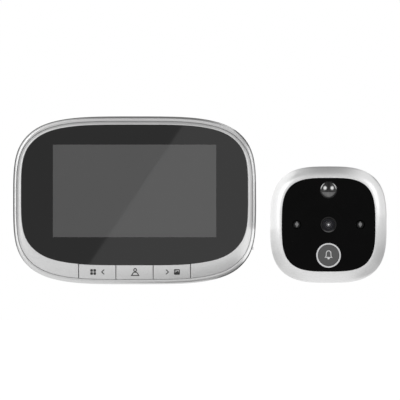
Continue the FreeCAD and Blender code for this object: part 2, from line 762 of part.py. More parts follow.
def window_bottom():
    """Height of the window's lower edge."""
    return WINDOW_RISE - WINDOW_H / 2


def key_notch(back):
    """Where the frame makes room for the three keys and their tongues."""
    half = 1.5 * KEY_PITCH + KEY_GAP / 2
    tongue_top = window_bottom() + KEY_TONGUE + KEY_WINDOW_GAP
    return block(-half, half, back, FRONT_AT + PAST, -SEAM_H / 2 - PAST, tongue_top)


def board_post_spots():
    """Posts on the frame that the main board is screwed to."""
    return BOARD_SCREW_SPOTS


def front_frame():
    """The silver frame: it carries the window, the display, the keys and the board."""
    frame = frame_envelope().cut(window_pocket(WINDOW_GAP, WINDOW_BACK_AT))
    inside = oval_plate(SEAM_W - 2 * SKIRT_THICK, SEAM_H - 2 * SKIRT_THICK, OUTLINE_POWER,
                        SKIRT_BACK_AT - PAST, WEB_BACK_AT)
    half = 1.5 * KEY_PITCH + KEY_BLOCK_EDGE
    floor_back = KEY_FLOOR_AT - KEY_FLOOR_THICK
    floor_top = window_bottom() + KEY_TONGUE + KEY_BLOCK_EDGE
    inside = inside.cut(block(-half, half, floor_back, FRONT_AT, -SEAM_H / 2, floor_top))
    frame = frame.cut([
        inside,
        centred_block(LCD_W + 2 * LCD_PLAY, LCD_H + 2 * LCD_PLAY, SKIRT_BACK_AT - PAST,
                      WINDOW_BACK_AT + PAST, 0, LCD_RISE),
        key_notch(KEY_FLOOR_AT),
    ])
    window = SWITCH_SIDE + 2 * SWITCH_WINDOW_GAP
    for column in (-1, 0, 1):
        frame = frame.cut(centred_block(window, window, floor_back - PAST, KEY_FLOOR_AT + PAST,
                                        column * KEY_PITCH, -SWITCH_DROP))
    bosses = [rod(BOSS_RADIUS, BOSS_SPLIT_AT, WEB_BACK_AT + WEB_THICK / 2, x, z)
              for x, z in case_screw_spots()]
    posts = [rod(BOARD_POST_RADIUS, BOARD_FRONT_AT, WEB_BACK_AT + WEB_THICK / 2, x, z)
             for x, z in board_post_spots()]
    frame = frame.fuse(bosses + posts)
    case_tip_at = CASE_SCREW_SEAT_AT + CASE_SCREW_LONG + SCREW_TIP_ROOM
    board_tip_at = BOARD_BACK_AT + BOARD_SCREW_LONG + SCREW_TIP_ROOM / 2
    pilots = [rod(SCREW_SHANK + SCREW_PLAY, BOSS_SPLIT_AT - PAST, case_tip_at, x, z)
              for x, z in case_screw_spots()]
    pilots += [rod(SCREW_SHANK + SCREW_PLAY, BOARD_FRONT_AT - PAST, board_tip_at, x, z)
               for x, z in board_post_spots()]
    return frame.cut(pilots).removeSplitter()


def window_glass():
    """The flat front window, stuck on the frame's web."""
    return oval_plate(WINDOW_W, WINDOW_H, WINDOW_POWER, WINDOW_BACK_AT, FRONT_AT, WINDOW_RISE)


def screen_gasket():
    """The foam frame between display and window, open over the picture."""
    foam = centred_block(LCD_W, LCD_H, LCD_FRONT_AT, WINDOW_BACK_AT, 0, LCD_RISE)
    return foam.cut(centred_block(PICTURE_W, PICTURE_H, LCD_FRONT_AT - PAST,
                                  WINDOW_BACK_AT + PAST, 0, PICTURE_RISE))


def lcd_panel():
    """The glass sandwich that shows the picture."""
    return centred_block(PICTURE_W + 2 * PANEL_EDGE, PICTURE_H + 2 * PANEL_EDGE,
                         LCD_FRONT_AT - PANEL_THICK, LCD_FRONT_AT, 0, PICTURE_RISE)


def lcd_backlight():
    """The backlight in its tray, with the pocket that the panel lies in."""
    tray = centred_block(LCD_W, LCD_H, LCD_BACK_AT, LCD_FRONT_AT, 0, LCD_RISE)
    return tray.cut(lcd_panel())


def key_cap(column):
    """One key: a piece of the frame's own crown, with a tongue under the window."""
    low = (column - 0.5) * KEY_PITCH + KEY_GAP / 2
    high = (column + 0.5) * KEY_PITCH - KEY_GAP / 2
    cap = frame_envelope().common(
        block(low, high, KEY_BACK_AT, FRONT_AT + PAST, -SEAM_H / 2 - PAST, 0))
    cap = cap.cut(window_pocket(KEY_WINDOW_GAP, KEY_BACK_AT - PAST))
    tongue_top = window_bottom() + KEY_TONGUE
    tongue_front = WINDOW_BACK_AT - KEY_TONGUE_GAP
    tongue = block(low, high, KEY_BACK_AT, tongue_front, window_bottom() - KEY_TONGUE, tongue_top)
    stem = rod(STEM_RADIUS, PLUNGER_FRONT_AT, KEY_BACK_AT, column * KEY_PITCH, -SWITCH_DROP)
    return joined([cap, tongue, stem])


def key_switches():
    """Three flat push switches on the board, each bored for its plunger."""
    bodies = []
    for column in (-1, 0, 1):
        x = column * KEY_PITCH
        body = centred_block(SWITCH_SIDE, SWITCH_SIDE, BOARD_FRONT_AT,
                             BOARD_FRONT_AT + SWITCH_HIGH, x, -SWITCH_DROP)
        bore_back = BOARD_FRONT_AT + SWITCH_HIGH - PLUNGER_DEEP - KEY_TRAVEL - PLUNGER_PLAY
        bore = rod(PLUNGER_RADIUS + PLUNGER_PLAY, bore_back, PLUNGER_FRONT_AT, x, -SWITCH_DROP)
        bodies.append(body.cut(bore))
    return Part.makeCompound(bodies)


def key_plunger(column):
    """The moving button of one key switch."""
    back = BOARD_FRONT_AT + SWITCH_HIGH - PLUNGER_DEEP
    return rod(PLUNGER_RADIUS, back, PLUNGER_FRONT_AT, column * KEY_PITCH, -SWITCH_DROP)


# Screen unit: board, speaker, sockets and power

def main_board():
    """The circuit board, cut to the case, with holes for the case screws' bosses."""
    inset = 2 * (SKIRT_THICK + BOARD_EDGE)
    board = oval_plate(SEAM_W - inset, SEAM_H - inset, OUTLINE_POWER, BOARD_BACK_AT,
                       BOARD_FRONT_AT)
    holes = [rod(BOSS_RADIUS + BOSS_HOLE_GAP, BOARD_BACK_AT - PAST, BOARD_FRONT_AT + PAST, x, z)
             for x, z in case_screw_spots()]
    holes += [rod(SCREW_SHANK + SCREW_PLAY, BOARD_BACK_AT - PAST, BOARD_FRONT_AT + PAST, x, z)
              for x, z in board_post_spots()]
    return board.cut(holes)


def board_chips():
    """The larger parts on the back of the board, about the ribbon socket."""
    return Part.makeCompound([
        centred_block(w, h, BOARD_BACK_AT - thick, BOARD_BACK_AT, x, BORE_ABOVE_CENTRE + z)
        for w, h, thick, x, z in BOARD_CHIPS])


def ribbon_socket():
    """The tall socket for the ribbon from the outdoor unit, behind the well's window."""
    z = BORE_ABOVE_CENTRE
    mouth = BOARD_BACK_AT - RIBBON_SOCKET_HIGH
    body = centred_block(RIBBON_SOCKET_W, RIBBON_SOCKET_H, mouth, BOARD_BACK_AT, 0, z)
    return body.cut(centred_block(RIBBON_SLOT_W, RIBBON_SLOT_H, mouth - PAST,
                                  mouth + RIBBON_SLOT_DEEP, 0, z))


def speaker_basket():
    """The speaker's frame and magnet, in the collar on the back wall."""
    back = BACK_AT + BACK_WALL
    rim = tube(SPEAKER_RADIUS, SPEAKER_RADIUS - SPEAKER_RIM, back, back + SPEAKER_RIM_HIGH,
               SPEAKER_X, SPEAKER_Z)
    pan_back = back + SPEAKER_RIM_HIGH
    pan = rod(SPEAKER_RADIUS, pan_back, pan_back + SPEAKER_RIM_HIGH / 2, SPEAKER_X, SPEAKER_Z)
    magnet = rod(SPEAKER_MAGNET, pan_back, back + SPEAKER_HIGH, SPEAKER_X, SPEAKER_Z)
    return joined([rim, pan, magnet])


def speaker_cone():
    """The thin dished cone, with its dust cap, facing the sound holes."""
    back = BACK_AT + BACK_WALL
    outer = SPEAKER_RADIUS - SPEAKER_RIM
    deep = SPEAKER_RIM_HIGH - SPEAKER_CONE_THICK
    profile = Part.makePolygon([
        at(0, back + deep, 0),
        at(SPEAKER_DUST_CAP, back + deep, 0),
        at(outer, back, 0),
        at(outer, back + SPEAKER_CONE_THICK, 0),
        at(SPEAKER_DUST_CAP, back + SPEAKER_RIM_HIGH, 0),
        at(0, back + SPEAKER_RIM_HIGH, 0),
        at(0, back + deep, 0),
    ])
    cone = Part.Face(profile).revolve(at(0, 0, 0), OUT, 360)
    cone.translate(FreeCAD.Vector(SPEAKER_X, 0, SPEAKER_Z))
    return cone


def card_socket():
    """The memory card's metal socket at the board's edge."""
    mouth = card_mouth_x()
    back = BOARD_BACK_AT - CARD_SOCKET_HIGH
    half = CARD_SOCKET_W / 2
    body = block(mouth - CARD_SOCKET_LONG, mouth, back, BOARD_BACK_AT, CARD_Z - half, CARD_Z + half)
    slot_half = CARD_THICK / 2 + CARD_PLAY
    slot_reach = CARD_W / 2 + CARD_PLAY
    return body.cut(block(mouth - CARD_SOCKET_LONG + CARD_SLOT_EDGE, mouth + PAST,
                          card_middle_at() - slot_half, card_middle_at() + slot_half,
                          CARD_Z - slot_reach, CARD_Z + slot_reach))


def memory_card():
    """The card, seated with its end just inside the shell's side."""
    outer = side_x(CARD_Z + CARD_W / 2, card_middle_at())
    back, front = card_middle_at() - CARD_THICK / 2, card_middle_at() + CARD_THICK / 2
    low, high = CARD_Z - CARD_W / 2, CARD_Z + CARD_W / 2
    card = block(outer - CARD_LONG, outer, back, front, low, high)
    card = card.cut(block(outer - CARD_LONG - PAST, outer - CARD_LONG / 2, back - PAST,
                          front + PAST, high - CARD_NOTCH, high + PAST))
    grip = block(outer - 2 * CARD_GRIP, outer - CARD_GRIP, back - PAST, back + CARD_THICK / 4,
                 low + CARD_GRIP, high - CARD_GRIP)
    return card.cut(grip)


def usb_socket():
    """The power port: a rounded metal mouth with a tongue inside."""
    mouth = usb_mouth_x()
    middle = usb_middle_at()

    def sleeve(shrink, low, high):
        width, height = USB_W - 2 * shrink, USB_HIGH - 2 * shrink
        body = Part.makeBox(high - low, height, width,
                            FreeCAD.Vector(low, -middle - height / 2, USB_Z - width / 2))
        along = [e for e in body.Edges if abs(e.tangentAt(e.FirstParameter).x) > 0.5]
        return body.makeFillet(USB_CORNER - shrink / 2, along)

    shell = sleeve(0, mouth - USB_LONG, mouth)
    shell = shell.cut(sleeve(USB_WALL, mouth - USB_LONG + USB_WALL, mouth + PAST))
    half = USB_TONGUE / 2
    reach = USB_W / 2 - 2 * USB_CORNER
    tongue = block(mouth - USB_LONG, mouth - USB_CORNER, middle - half, middle + half,
                   USB_Z - reach, USB_Z + reach)
    return joined([shell, tongue])


def power_switch_body():
    """The slide switch's metal body, open towards the side of the case."""
    outer = power_mouth_x()
    middle = power_middle_at()
    half = POWER_BODY_H / 2
    body = block(outer - POWER_BODY_LONG, outer, middle - POWER_BODY_DEEP / 2, BOARD_BACK_AT,
                 POWER_Z - half, POWER_Z + half)
    slot_half = POWER_KNOB_SIDE / 2 + POWER_KNOB_GAP
    slot_reach = (POWER_KNOB_SIDE + POWER_TRAVEL) / 2 + POWER_KNOB_GAP
    return body.cut(block(outer - POWER_BODY_LONG + POWER_BODY_WALL, outer + PAST,
                          middle - slot_half, middle + slot_half,
                          POWER_Z - slot_reach, POWER_Z + slot_reach))


def power_knob():
    """The switch's knob, in its lower position, reaching out through the case."""
    outer = power_mouth_x()
    middle = power_middle_at()
    z = POWER_Z - POWER_TRAVEL / 2
    half = POWER_KNOB_SIDE / 2
    tip = side_x(POWER_Z, middle) + POWER_KNOB_PROUD
    root = outer - POWER_BODY_LONG + POWER_BODY_WALL + POWER_KNOB_GAP
    return block(root, tip, middle - half, middle + half, z - half, z + half)


def cell_rows():
    """Heights of the two rows of cells, upper first."""
    upper = BAY_TOP - CELL_GAP - CELL_DIAMETER / 2
    return (upper, upper - CELL_DIAMETER - CELL_ROW_GAP)


def battery_cell(row, side):
    """A round cell lying along X. The upper row's nubs point left, the lower row's right."""
    nub_side = -1 if row == 0 else 1
    radius = CELL_DIAMETER / 2
    can_long = CELL_LONG - CELL_NUB_HIGH
    low = 0.0 if side > 0 else -CELL_LONG
    can_low = low + (CELL_NUB_HIGH if nub_side < 0 else 0.0)
    nub_low = low if nub_side < 0 else low + can_long
    middle = CELL_BACK_AT + radius
    along = FreeCAD.Vector(1, 0, 0)
    z = cell_rows()[row]
    can = Part.makeCylinder(radius, can_long, at(can_low, middle, z), along)
    nub = Part.makeCylinder(CELL_NUB_RADIUS, CELL_NUB_HIGH, at(nub_low, middle, z), along)
    return joined([can, nub])


def contact_leaf(side, row):
    """A bent spring leaf from a contact plate to the end of one cell."""
    wall = side * BAY_LONG / 2
    z = cell_rows()[row]
    tip = CONTACT_ROOM - CONTACT_TIP_GAP
    foot = CONTACT_THICK * 0.9
    outline = [(foot, -LEAF_HALF), (tip, 0), (foot + LEAF_THICK, LEAF_HALF), (foot, LEAF_HALF),
               (tip - LEAF_THICK, 0), (foot, LEAF_THICK - LEAF_HALF)]
    middle = CELL_BACK_AT + CELL_DIAMETER / 2
    points = [at(wall - side * out, middle - LEAF_WIDE / 2, z + up) for out, up in outline]
    return Part.Face(Part.makePolygon(points + points[:1])).extrude(OUT * LEAF_WIDE)


def battery_contact(side, rows):
    """A contact plate on one end wall of the bay, with a leaf for each row it serves."""
    back = CELL_BACK_AT + CONTACT_SET_IN
    heights = [cell_rows()[row] for row in rows]
    outer = side * BAY_LONG / 2
    inner = outer - side * CONTACT_THICK
    sheet = block(min(outer, inner), max(outer, inner), back, back + CONTACT_DEEP,
                  min(heights) - CONTACT_HALF, max(heights) + CONTACT_HALF)
    return joined([sheet] + [contact_leaf(side, row) for row in rows])


def case_screws():
    """Four screws from the back into the frame's bosses."""
    return Part.makeCompound([screw(SCREW_SHANK, CASE_SCREW_LONG, CASE_SCREW_SEAT_AT, x, z)
                              for x, z in case_screw_spots()])


def board_screws():
    """Short screws that hold the main board to the frame's posts."""
    return Part.makeCompound([screw(SCREW_SHANK, BOARD_SCREW_LONG, BOARD_BACK_AT, x, z)
                              for x, z in board_post_spots()])


# Door: bracket and hollow nut

def door_bracket():
    """The pressed steel bracket, with two hooks raised from the plate."""
    sheet = plate(BRACKET_W, BRACKET_H, BRACKET_CORNER, 0, BRACKET_THICK)
    lip_front = HOOK_LIP_AT + HOOK_THICK
    pieces = [sheet]
    holes = [rod(BRACKET_BORE, -PAST, BRACKET_THICK + PAST)]
    for side in (-1, 1):
        low, high = side * HOOK_X - HOOK_WIDE / 2, side * HOOK_X + HOOK_WIDE / 2
        neck_top = HOOK_Z + HOOK_THICK
        pieces.append(block(low, high, BRACKET_THICK / 2, lip_front, HOOK_Z, neck_top))
        pieces.append(block(low, high, HOOK_LIP_AT, lip_front, HOOK_Z, neck_top + HOOK_LIP))
        window_top = neck_top + HOOK_LIP + HOOK_THICK
        holes.append(block(low, high, -PAST, BRACKET_THICK + PAST / 2, neck_top, window_top))
        holes.append(rod(BRACKET_SCREW_HOLE, -PAST, BRACKET_THICK + PAST,
                         side * BRACKET_SCREW_X, 0))
    return joined(pieces).cut(holes)


def barrel_nut():
    """The hollow nut: a flange that clamps the bracket, a pilot in its bore, and the tube."""
    flange_front = BRACKET_THICK + NUT_FLANGE_THICK
    nut = joined([rod(NUT_RADIUS, -NUT_LONG, 0),
                  rod(NUT_PILOT, 0, flange_front),
                  rod(NUT_FLANGE, BRACKET_THICK, flange_front)])
    nut = nut.cut(rod(NUT_BORE, -NUT_LONG - PAST, flange_front + PAST))
    slot = centred_block(NUT_SLOT_WIDE, 2 * NUT_FLANGE + PAST, flange_front - NUT_SLOT_DEEP,
                         flange_front + PAST)
    for turn in range(NUT_SLOTS // 2):
        nut = nut.cut(slot.rotated(at(0, 0, 0), OUT, 360.0 * turn / NUT_SLOTS))
    return nut


# Outdoor unit: housing

def ring_sections(shrink, front_at):
    """The ring's swelling front, or the same taken in by a wall."""
    rise = front_at - RING_SHOULDER_AT
    low, high = OUTDOOR_SIDE - 2 * shrink, FACE_SIDE + 2 * RING_LAND - 2 * shrink
    sections = []
    for out, up in RING_SWELL:
        side = low - (low - high) * out
        power = OUTDOOR_POWER + (FACE_POWER - OUTDOOR_POWER) * out
        sections.append((side, side, power, RING_SHOULDER_AT + rise * up))
    return sections


def outdoor_boss_spots():
    """The four screws that close the outdoor unit."""
    return [(x * OUTDOOR_BOSS_SPOT, z * OUTDOOR_BOSS_SPOT) for x in (-1, 1) for z in (-1, 1)]


def outdoor_frame():
    """The silver ring: a straight side wall under a rounded front that frames the face."""
    solid = oval_plate(OUTDOOR_SIDE, OUTDOOR_SIDE, OUTDOOR_POWER, FOAM_THICK, RING_SHOULDER_AT)
    solid = solid.fuse(oval_loft(ring_sections(0, RING_FRONT_AT)))
    inner_side = COVER_SIDE - 2 * SEAL_WIDE
    ledge_side = FACE_SIDE - 2 * FACE_LEDGE
    room = oval_loft([
        (inner_side, inner_side, OUTDOOR_POWER, SEAL_FRONT_AT),
        (inner_side, inner_side, OUTDOOR_POWER, RING_SHOULDER_AT),
        (ledge_side, ledge_side, FACE_POWER, FACE_BACK_AT + FACE_GAP),
    ], True)
    frame = solid.cut([
        oval_plate(COVER_SIDE, COVER_SIDE, OUTDOOR_POWER, FOAM_THICK - PAST, SEAL_FRONT_AT),
        room,
        oval_plate(FACE_SIDE, FACE_SIDE, FACE_POWER, FACE_BACK_AT, RING_FRONT_AT + PAST),
    ])
    bosses = [rod(OUTDOOR_BOSS, SEAL_FRONT_AT, FACE_BACK_AT, x, z).common(solid)
              for x, z in outdoor_boss_spots()]
    frame = frame.fuse(bosses)
    tip_at = COVER_FRONT_AT + OUTDOOR_SCREW_LONG
    pilots = [rod(SCREW_SHANK + SCREW_PLAY, SEAL_FRONT_AT - PAST, tip_at, x, z)
              for x, z in outdoor_boss_spots()]
    return frame.cut(pilots).removeSplitter()


def outdoor_face():
    """The glossy black front panel, with its five round openings."""
    side = FACE_SIDE - 2 * FACE_GAP
    face = oval_plate(side, side, FACE_POWER, FACE_BACK_AT, FACE_FRONT_AT)
    holes = [(PIR_RADIUS + FACE_HOLE_GAP, 0, PIR_Z),
             (CAMERA_HOLE, 0, 0),
             (LED_RADIUS + FACE_HOLE_GAP, -LED_X, 0),
             (LED_RADIUS + FACE_HOLE_GAP, LED_X, 0),
             (BELL_RING_OUTER + FACE_HOLE_GAP, 0, BELL_Z)]
    return face.cut([rod(radius, FACE_BACK_AT - PAST, FACE_FRONT_AT + PAST, x, z)
                     for radius, x, z in holes])


def outdoor_cover():
    """The back cover that closes the ring, bored for the stub and the screws."""
    side = COVER_SIDE - 2 * COVER_GAP
    cover = oval_plate(side, side, OUTDOOR_POWER, FOAM_THICK, COVER_FRONT_AT)
    head_seat = COVER_FRONT_AT - COVER_THICK / 3
    holes = [rod(STUB_NECK + STUB_PLAY, FOAM_THICK - PAST, COVER_FRONT_AT + PAST)]
    for x, z in outdoor_boss_spots():
        holes.append(rod(SCREW_HEAD + SCREW_WELL_GAP, FOAM_THICK - PAST, head_seat, x, z))
        holes.append(rod(SCREW_SHANK + SCREW_PLAY, FOAM_THICK, COVER_FRONT_AT + PAST, x, z))
    return cover.cut(holes)


def mounting_foam():
    """The sticky foam pad between the outdoor unit and the door."""
    side = COVER_SIDE - 2 * FOAM_EDGE
    pad = oval_plate(side, side, OUTDOOR_POWER, 0, FOAM_THICK)
    return pad.cut(rod(FOAM_HOLE, -PAST, FOAM_THICK + PAST))


def weather_seal():
    """The rubber ring squeezed between the cover and the frame."""
    outer = COVER_SIDE - 2 * COVER_GAP
    inner = COVER_SIDE - 2 * SEAL_WIDE
    ring = oval_plate(outer, outer, OUTDOOR_POWER, COVER_FRONT_AT, SEAL_FRONT_AT)
    return ring.cut(oval_plate(inner, inner, OUTDOOR_POWER, COVER_FRONT_AT - PAST,
                               SEAL_FRONT_AT + PAST))


def threaded_stub():
    """The threaded hollow stub that the barrel nut takes, held by its inner flange."""
    flange_front = COVER_FRONT_AT + STUB_FLANGE_THICK
    stub = joined([rod(STUB_RADIUS, -STUB_LONG, FOAM_THICK),
                   rod(STUB_NECK, FOAM_THICK, flange_front),
                   rod(STUB_FLANGE, COVER_FRONT_AT, flange_front)])
    return stub.cut(rod(STUB_BORE, -STUB_LONG - PAST, flange_front + PAST))


def outdoor_board():
    """The outdoor unit's circuit board, with holes for the screw bosses."""
    side = COVER_SIDE - 2 * (SEAL_WIDE + OUTDOOR_BOARD_EDGE)
    board = oval_plate(side, side, OUTDOOR_POWER, OUTDOOR_BOARD_AT, OUTDOOR_BOARD_FRONT_AT)
    return board.cut([rod(OUTDOOR_BOSS + BOSS_HOLE_GAP, OUTDOOR_BOARD_AT - PAST,
                          OUTDOOR_BOARD_FRONT_AT + PAST, x, z)
                      for x, z in outdoor_boss_spots()])


def outdoor_screws():
    """Four screws through the cover into the ring's bosses."""
    seat = COVER_FRONT_AT - COVER_THICK / 3
    return Part.makeCompound([
        screw(SCREW_SHANK, OUTDOOR_SCREW_LONG - SCREW_TIP_ROOM, seat, x, z)
        for x, z in outdoor_boss_spots()])


# Outdoor unit: what shows in its face

def dome(base_radius, high, base_at, x, z):
    """A round cap of a sphere that stands on a flat base."""
    ball_radius = (base_radius ** 2 + high ** 2) / (2 * high)
    ball = Part.makeSphere(ball_radius, at(x, base_at + high - ball_radius, z))
    return ball.common(rod(base_radius + PAST, base_at, base_at + high + PAST, x, z))


def pir_lens():
    """The thin domed lens of the movement sensor, with a flange behind the face."""
    flange_radius = PIR_RADIUS + PIR_FLANGE
    flange_back = FACE_BACK_AT - PIR_FLANGE_THICK
    lens = joined([rod(flange_radius, flange_back, FACE_BACK_AT, 0, PIR_Z),
                   rod(PIR_RADIUS, FACE_BACK_AT, FACE_FRONT_AT, 0, PIR_Z),
                   dome(PIR_RADIUS, PIR_DOME_HIGH, FACE_FRONT_AT, 0, PIR_Z)])
    hollow = PIR_RADIUS - PIR_SHELL
    return lens.cut([rod(hollow, flange_back - PAST, FACE_FRONT_AT, 0, PIR_Z),
                     dome(hollow, PIR_DOME_HIGH - PIR_SHELL, FACE_FRONT_AT, 0, PIR_Z)])


def pir_sensor():
    """The sensor's metal can with its window, raised off the board on a socket."""
    can_front = FACE_FRONT_AT - PIR_CAN_GAP
    can_back = can_front - PIR_CAN_HIGH
    sensor = joined([rod(PIR_SOCKET, OUTDOOR_BOARD_FRONT_AT, can_back, 0, PIR_Z),
                     rod(PIR_CAN + PIR_CAN_RIM, can_back, can_back + PIR_CAN_RIM_THICK, 0, PIR_Z),
                     rod(PIR_CAN, can_back, can_front, 0, PIR_Z)])
    return sensor.cut(centred_block(PIR_EYE_W, PIR_EYE_H, can_front - PIR_EYE_DEEP,
                                    can_front + PAST, 0, PIR_Z))


def camera_ring():
    """The thin trim ring round the camera lens."""
    outer = CAMERA_HOLE - FACE_HOLE_GAP
    return tube(outer, outer - CAMERA_RING_WALL, FACE_FRONT_AT - CAMERA_RING_DEEP,
                FACE_FRONT_AT + CAMERA_RING_PROUD)


def camera_barrel():
    """The stepped lens barrel, which screws into the holder."""
    front = FACE_FRONT_AT - LENS_SET_BACK
    back = OUTDOOR_BOARD_FRONT_AT + CAMERA_HOLDER_HIGH / 2
    barrel = rod(LENS_BARREL, back, front)
    seat = rod(LENS_GLASS + LENS_STEP, front - LENS_SEAT / 2, front + PAST)
    pocket = rod(LENS_GLASS, front - LENS_SEAT, front + PAST)
    light_path = rod(LENS_GLASS - LENS_STEP, back - PAST, front)
    return barrel.cut([seat, pocket, light_path])


def camera_lens():
    """The bulging front glass of the camera."""
    seat = FACE_FRONT_AT - LENS_SET_BACK - LENS_SEAT
    return dome(LENS_GLASS, LENS_BULGE, seat, 0, 0)


def camera_holder():
    """The square holder on the board that takes the barrel over the picture sensor."""
    back = OUTDOOR_BOARD_FRONT_AT
    holder = centred_block(CAMERA_HOLDER_SIDE, CAMERA_HOLDER_SIDE, back,
                           back + CAMERA_HOLDER_HIGH)
    holder = holder.cut(rod(LENS_BARREL, back + CAMERA_HOLDER_HIGH / 2,
                            back + CAMERA_HOLDER_HIGH + PAST))
    room = SENSOR_SIDE + LENS_STEP
    return holder.cut(centred_block(room, room, back - PAST, back + CAMERA_HOLDER_HIGH))


def picture_sensor():
    """The camera's sensor chip under the lens."""
    return centred_block(SENSOR_SIDE, SENSOR_SIDE, OUTDOOR_BOARD_FRONT_AT,
                         OUTDOOR_BOARD_FRONT_AT + SENSOR_HIGH)


def infrared_led(side):
    """A round-nosed lamp for night view, standing on the board."""
    x = side * LED_X
    foot = OUTDOOR_BOARD_FRONT_AT + LED_FOOT
    nose = foot + LED_LONG - LED_RADIUS
    flange = rod(LED_RADIUS + LED_FLANGE, foot, foot + LED_FLANGE_THICK, x)
    body = rod(LED_RADIUS, foot, nose, x)
    ball = Part.makeSphere(LED_RADIUS, at(x, nose, 0))
    legs = [centred_block(LED_FLANGE, LED_FLANGE, OUTDOOR_BOARD_FRONT_AT, foot,
                          x + LED_RADIUS / 2 * leg) for leg in (-1, 1)]
    return joined([flange, body, ball] + legs)


def bell_ring():
    """The bright ring round the bell button, with a lip behind the face."""
    back = FACE_BACK_AT - BELL_RING_LIP_THICK
    ring = joined([rod(BELL_RING_OUTER, back, FACE_FRONT_AT + BELL_RING_PROUD, 0, BELL_Z),
                   rod(BELL_RING_OUTER + BELL_RING_LIP, back, FACE_BACK_AT, 0, BELL_Z)])
    return ring.cut(rod(BELL_RING_INNER, back - PAST, FACE_FRONT_AT + PAST, 0, BELL_Z))


def bell_cap_back():
    """Depth of the back of the bell button's flange."""
    flange_front = FACE_BACK_AT - BELL_RING_LIP_THICK - BELL_CAP_FLANGE_GAP
    return flange_front - BELL_CAP_FLANGE_THICK


def bell_plunger_front():
    """Depth of the front of the bell switch's plunger."""
    return OUTDOOR_BOARD_FRONT_AT + BELL_SWITCH_HIGH + BELL_PLUNGER_HIGH


def bell_button():
    """The round bell button, held in by a flange behind its ring."""
    back = bell_cap_back()
    cap = rod(BELL_RING_INNER - BELL_CAP_GAP, back, FACE_FRONT_AT + BELL_CAP_PROUD, 0, BELL_Z)
    flange = rod(BELL_RING_OUTER, back, back + BELL_CAP_FLANGE_THICK, 0, BELL_Z)
    stem = rod(BELL_STEM, bell_plunger_front(), back, 0, BELL_Z)
    return joined([cap, flange, stem])


def bell_switch():
    """The push switch behind the bell button."""
    front = OUTDOOR_BOARD_FRONT_AT + BELL_SWITCH_HIGH
    body = centred_block(BELL_SWITCH_SIDE, BELL_SWITCH_SIDE, OUTDOOR_BOARD_FRONT_AT, front, 0,
                         BELL_Z)
    bore_back = front - BELL_PLUNGER_HIGH - BELL_TRAVEL - PLUNGER_PLAY
    return body.cut(rod(BELL_PLUNGER_RADIUS + PLUNGER_PLAY, bore_back, front + PAST, 0, BELL_Z))


def bell_plunger():
    """The moving button of the bell switch."""
    front = bell_plunger_front()
    return rod(BELL_PLUNGER_RADIUS, front - 2 * BELL_PLUNGER_HIGH, front, 0, BELL_Z)


def outdoor_ribbon_socket():
    """The low socket over the stub's bore, where the ribbon starts."""
    body = centred_block(RIBBON_SOCKET_W, RIBBON_SOCKET_H, OUTDOOR_BOARD_AT - OUTDOOR_SOCKET_HIGH,
                         OUTDOOR_BOARD_AT)
    slot_back = OUTDOOR_BOARD_AT - OUTDOOR_SOCKET_HIGH - PAST
    return body.cut(centred_block(RIBBON_SLOT_W, RIBBON_SLOT_H, slot_back,
                                  OUTDOOR_BOARD_AT - OUTDOOR_SOCKET_HIGH / 3))


# Every node of the part with where it is placed

def all_pieces():
    """Node name, solid and placement for every separate piece."""
    screen = {
        "rear_shell": rear_shell(),
        "front_frame": front_frame(),
        "window_glass": window_glass(),
        "screen_gasket": screen_gasket(),
        "lcd_panel": lcd_panel(),
        "lcd_backlight": lcd_backlight(),
        "main_board": main_board(),
        "board_chips": board_chips(),
        "key_switches": key_switches(),
        "ribbon_socket": ribbon_socket(),
        "speaker_basket": speaker_basket(),
        "speaker_cone": speaker_cone(),
        "card_socket": card_socket(),
        "memory_card": memory_card(),
        "usb_socket": usb_socket(),
        "power_switch_body": power_switch_body(),
        "power_knob": power_knob(),
        "battery_door": battery_door(),
        "contact_bridge": battery_contact(-1, (0, 1)),
        "contact_negative": battery_contact(1, (0,)),
        "contact_positive": battery_contact(1, (1,)),
        "case_screws": case_screws(),
        "board_screws": board_screws(),
    }
    for column, name in ((-1, "menu_left"), (0, "view"), (1, "right_album")):
        screen["key_" + name] = key_cap(column)
        screen["plunger_" + name] = key_plunger(column)
    for row in (0, 1):
        for side in (-1, 1):
            screen["battery_cell_%d" % (2 * row + (side + 3) // 2)] = battery_cell(row, side)
    outdoor = {
        "outdoor_frame": outdoor_frame(),
        "outdoor_face": outdoor_face(),
        "outdoor_cover": outdoor_cover(),
        "mounting_foam": mounting_foam(),
        "weather_seal": weather_seal(),
        "threaded_stub": threaded_stub(),
        "outdoor_board": outdoor_board(),
        "outdoor_screws": outdoor_screws(),
        "pir_lens": pir_lens(),
        "pir_sensor": pir_sensor(),
        "camera_ring": camera_ring(),
        "camera_barrel": camera_barrel(),
        "camera_lens": camera_lens(),
        "camera_holder": camera_holder(),
        "picture_sensor": picture_sensor(),
        "infrared_led_left": infrared_led(-1),
        "infrared_led_right": infrared_led(1),
        "bell_ring": bell_ring(),
        "bell_button": bell_button(),
        "bell_plunger": bell_plunger(),
        "bell_switch": bell_switch(),
        "outdoor_ribbon_socket": outdoor_ribbon_socket(),
    }
    door = {"door_bracket": door_bracket(), "barrel_nut": barrel_nut()}
    groups = ((screen, SCREEN_PLACE), (outdoor, OUTDOOR_PLACE), (door, DOOR_PLACE))
    return [(name, shape, place) for pieces, place in groups for name, shape in pieces.items()]


def main():
    """Writes one STEP file for each node."""
    os.makedirs("parts", exist_ok=True)
    for name, shape, place in all_pieces():
        shape.translate(place)
        shape.exportStep("parts/%s.step" % name)
        volume = sum(solid.Volume for solid in shape.Solids)
        print("%-24s solids %d  volume %9.1f  valid %s"
              % (name, len(shape.Solids), volume, shape.isValid()))


main()
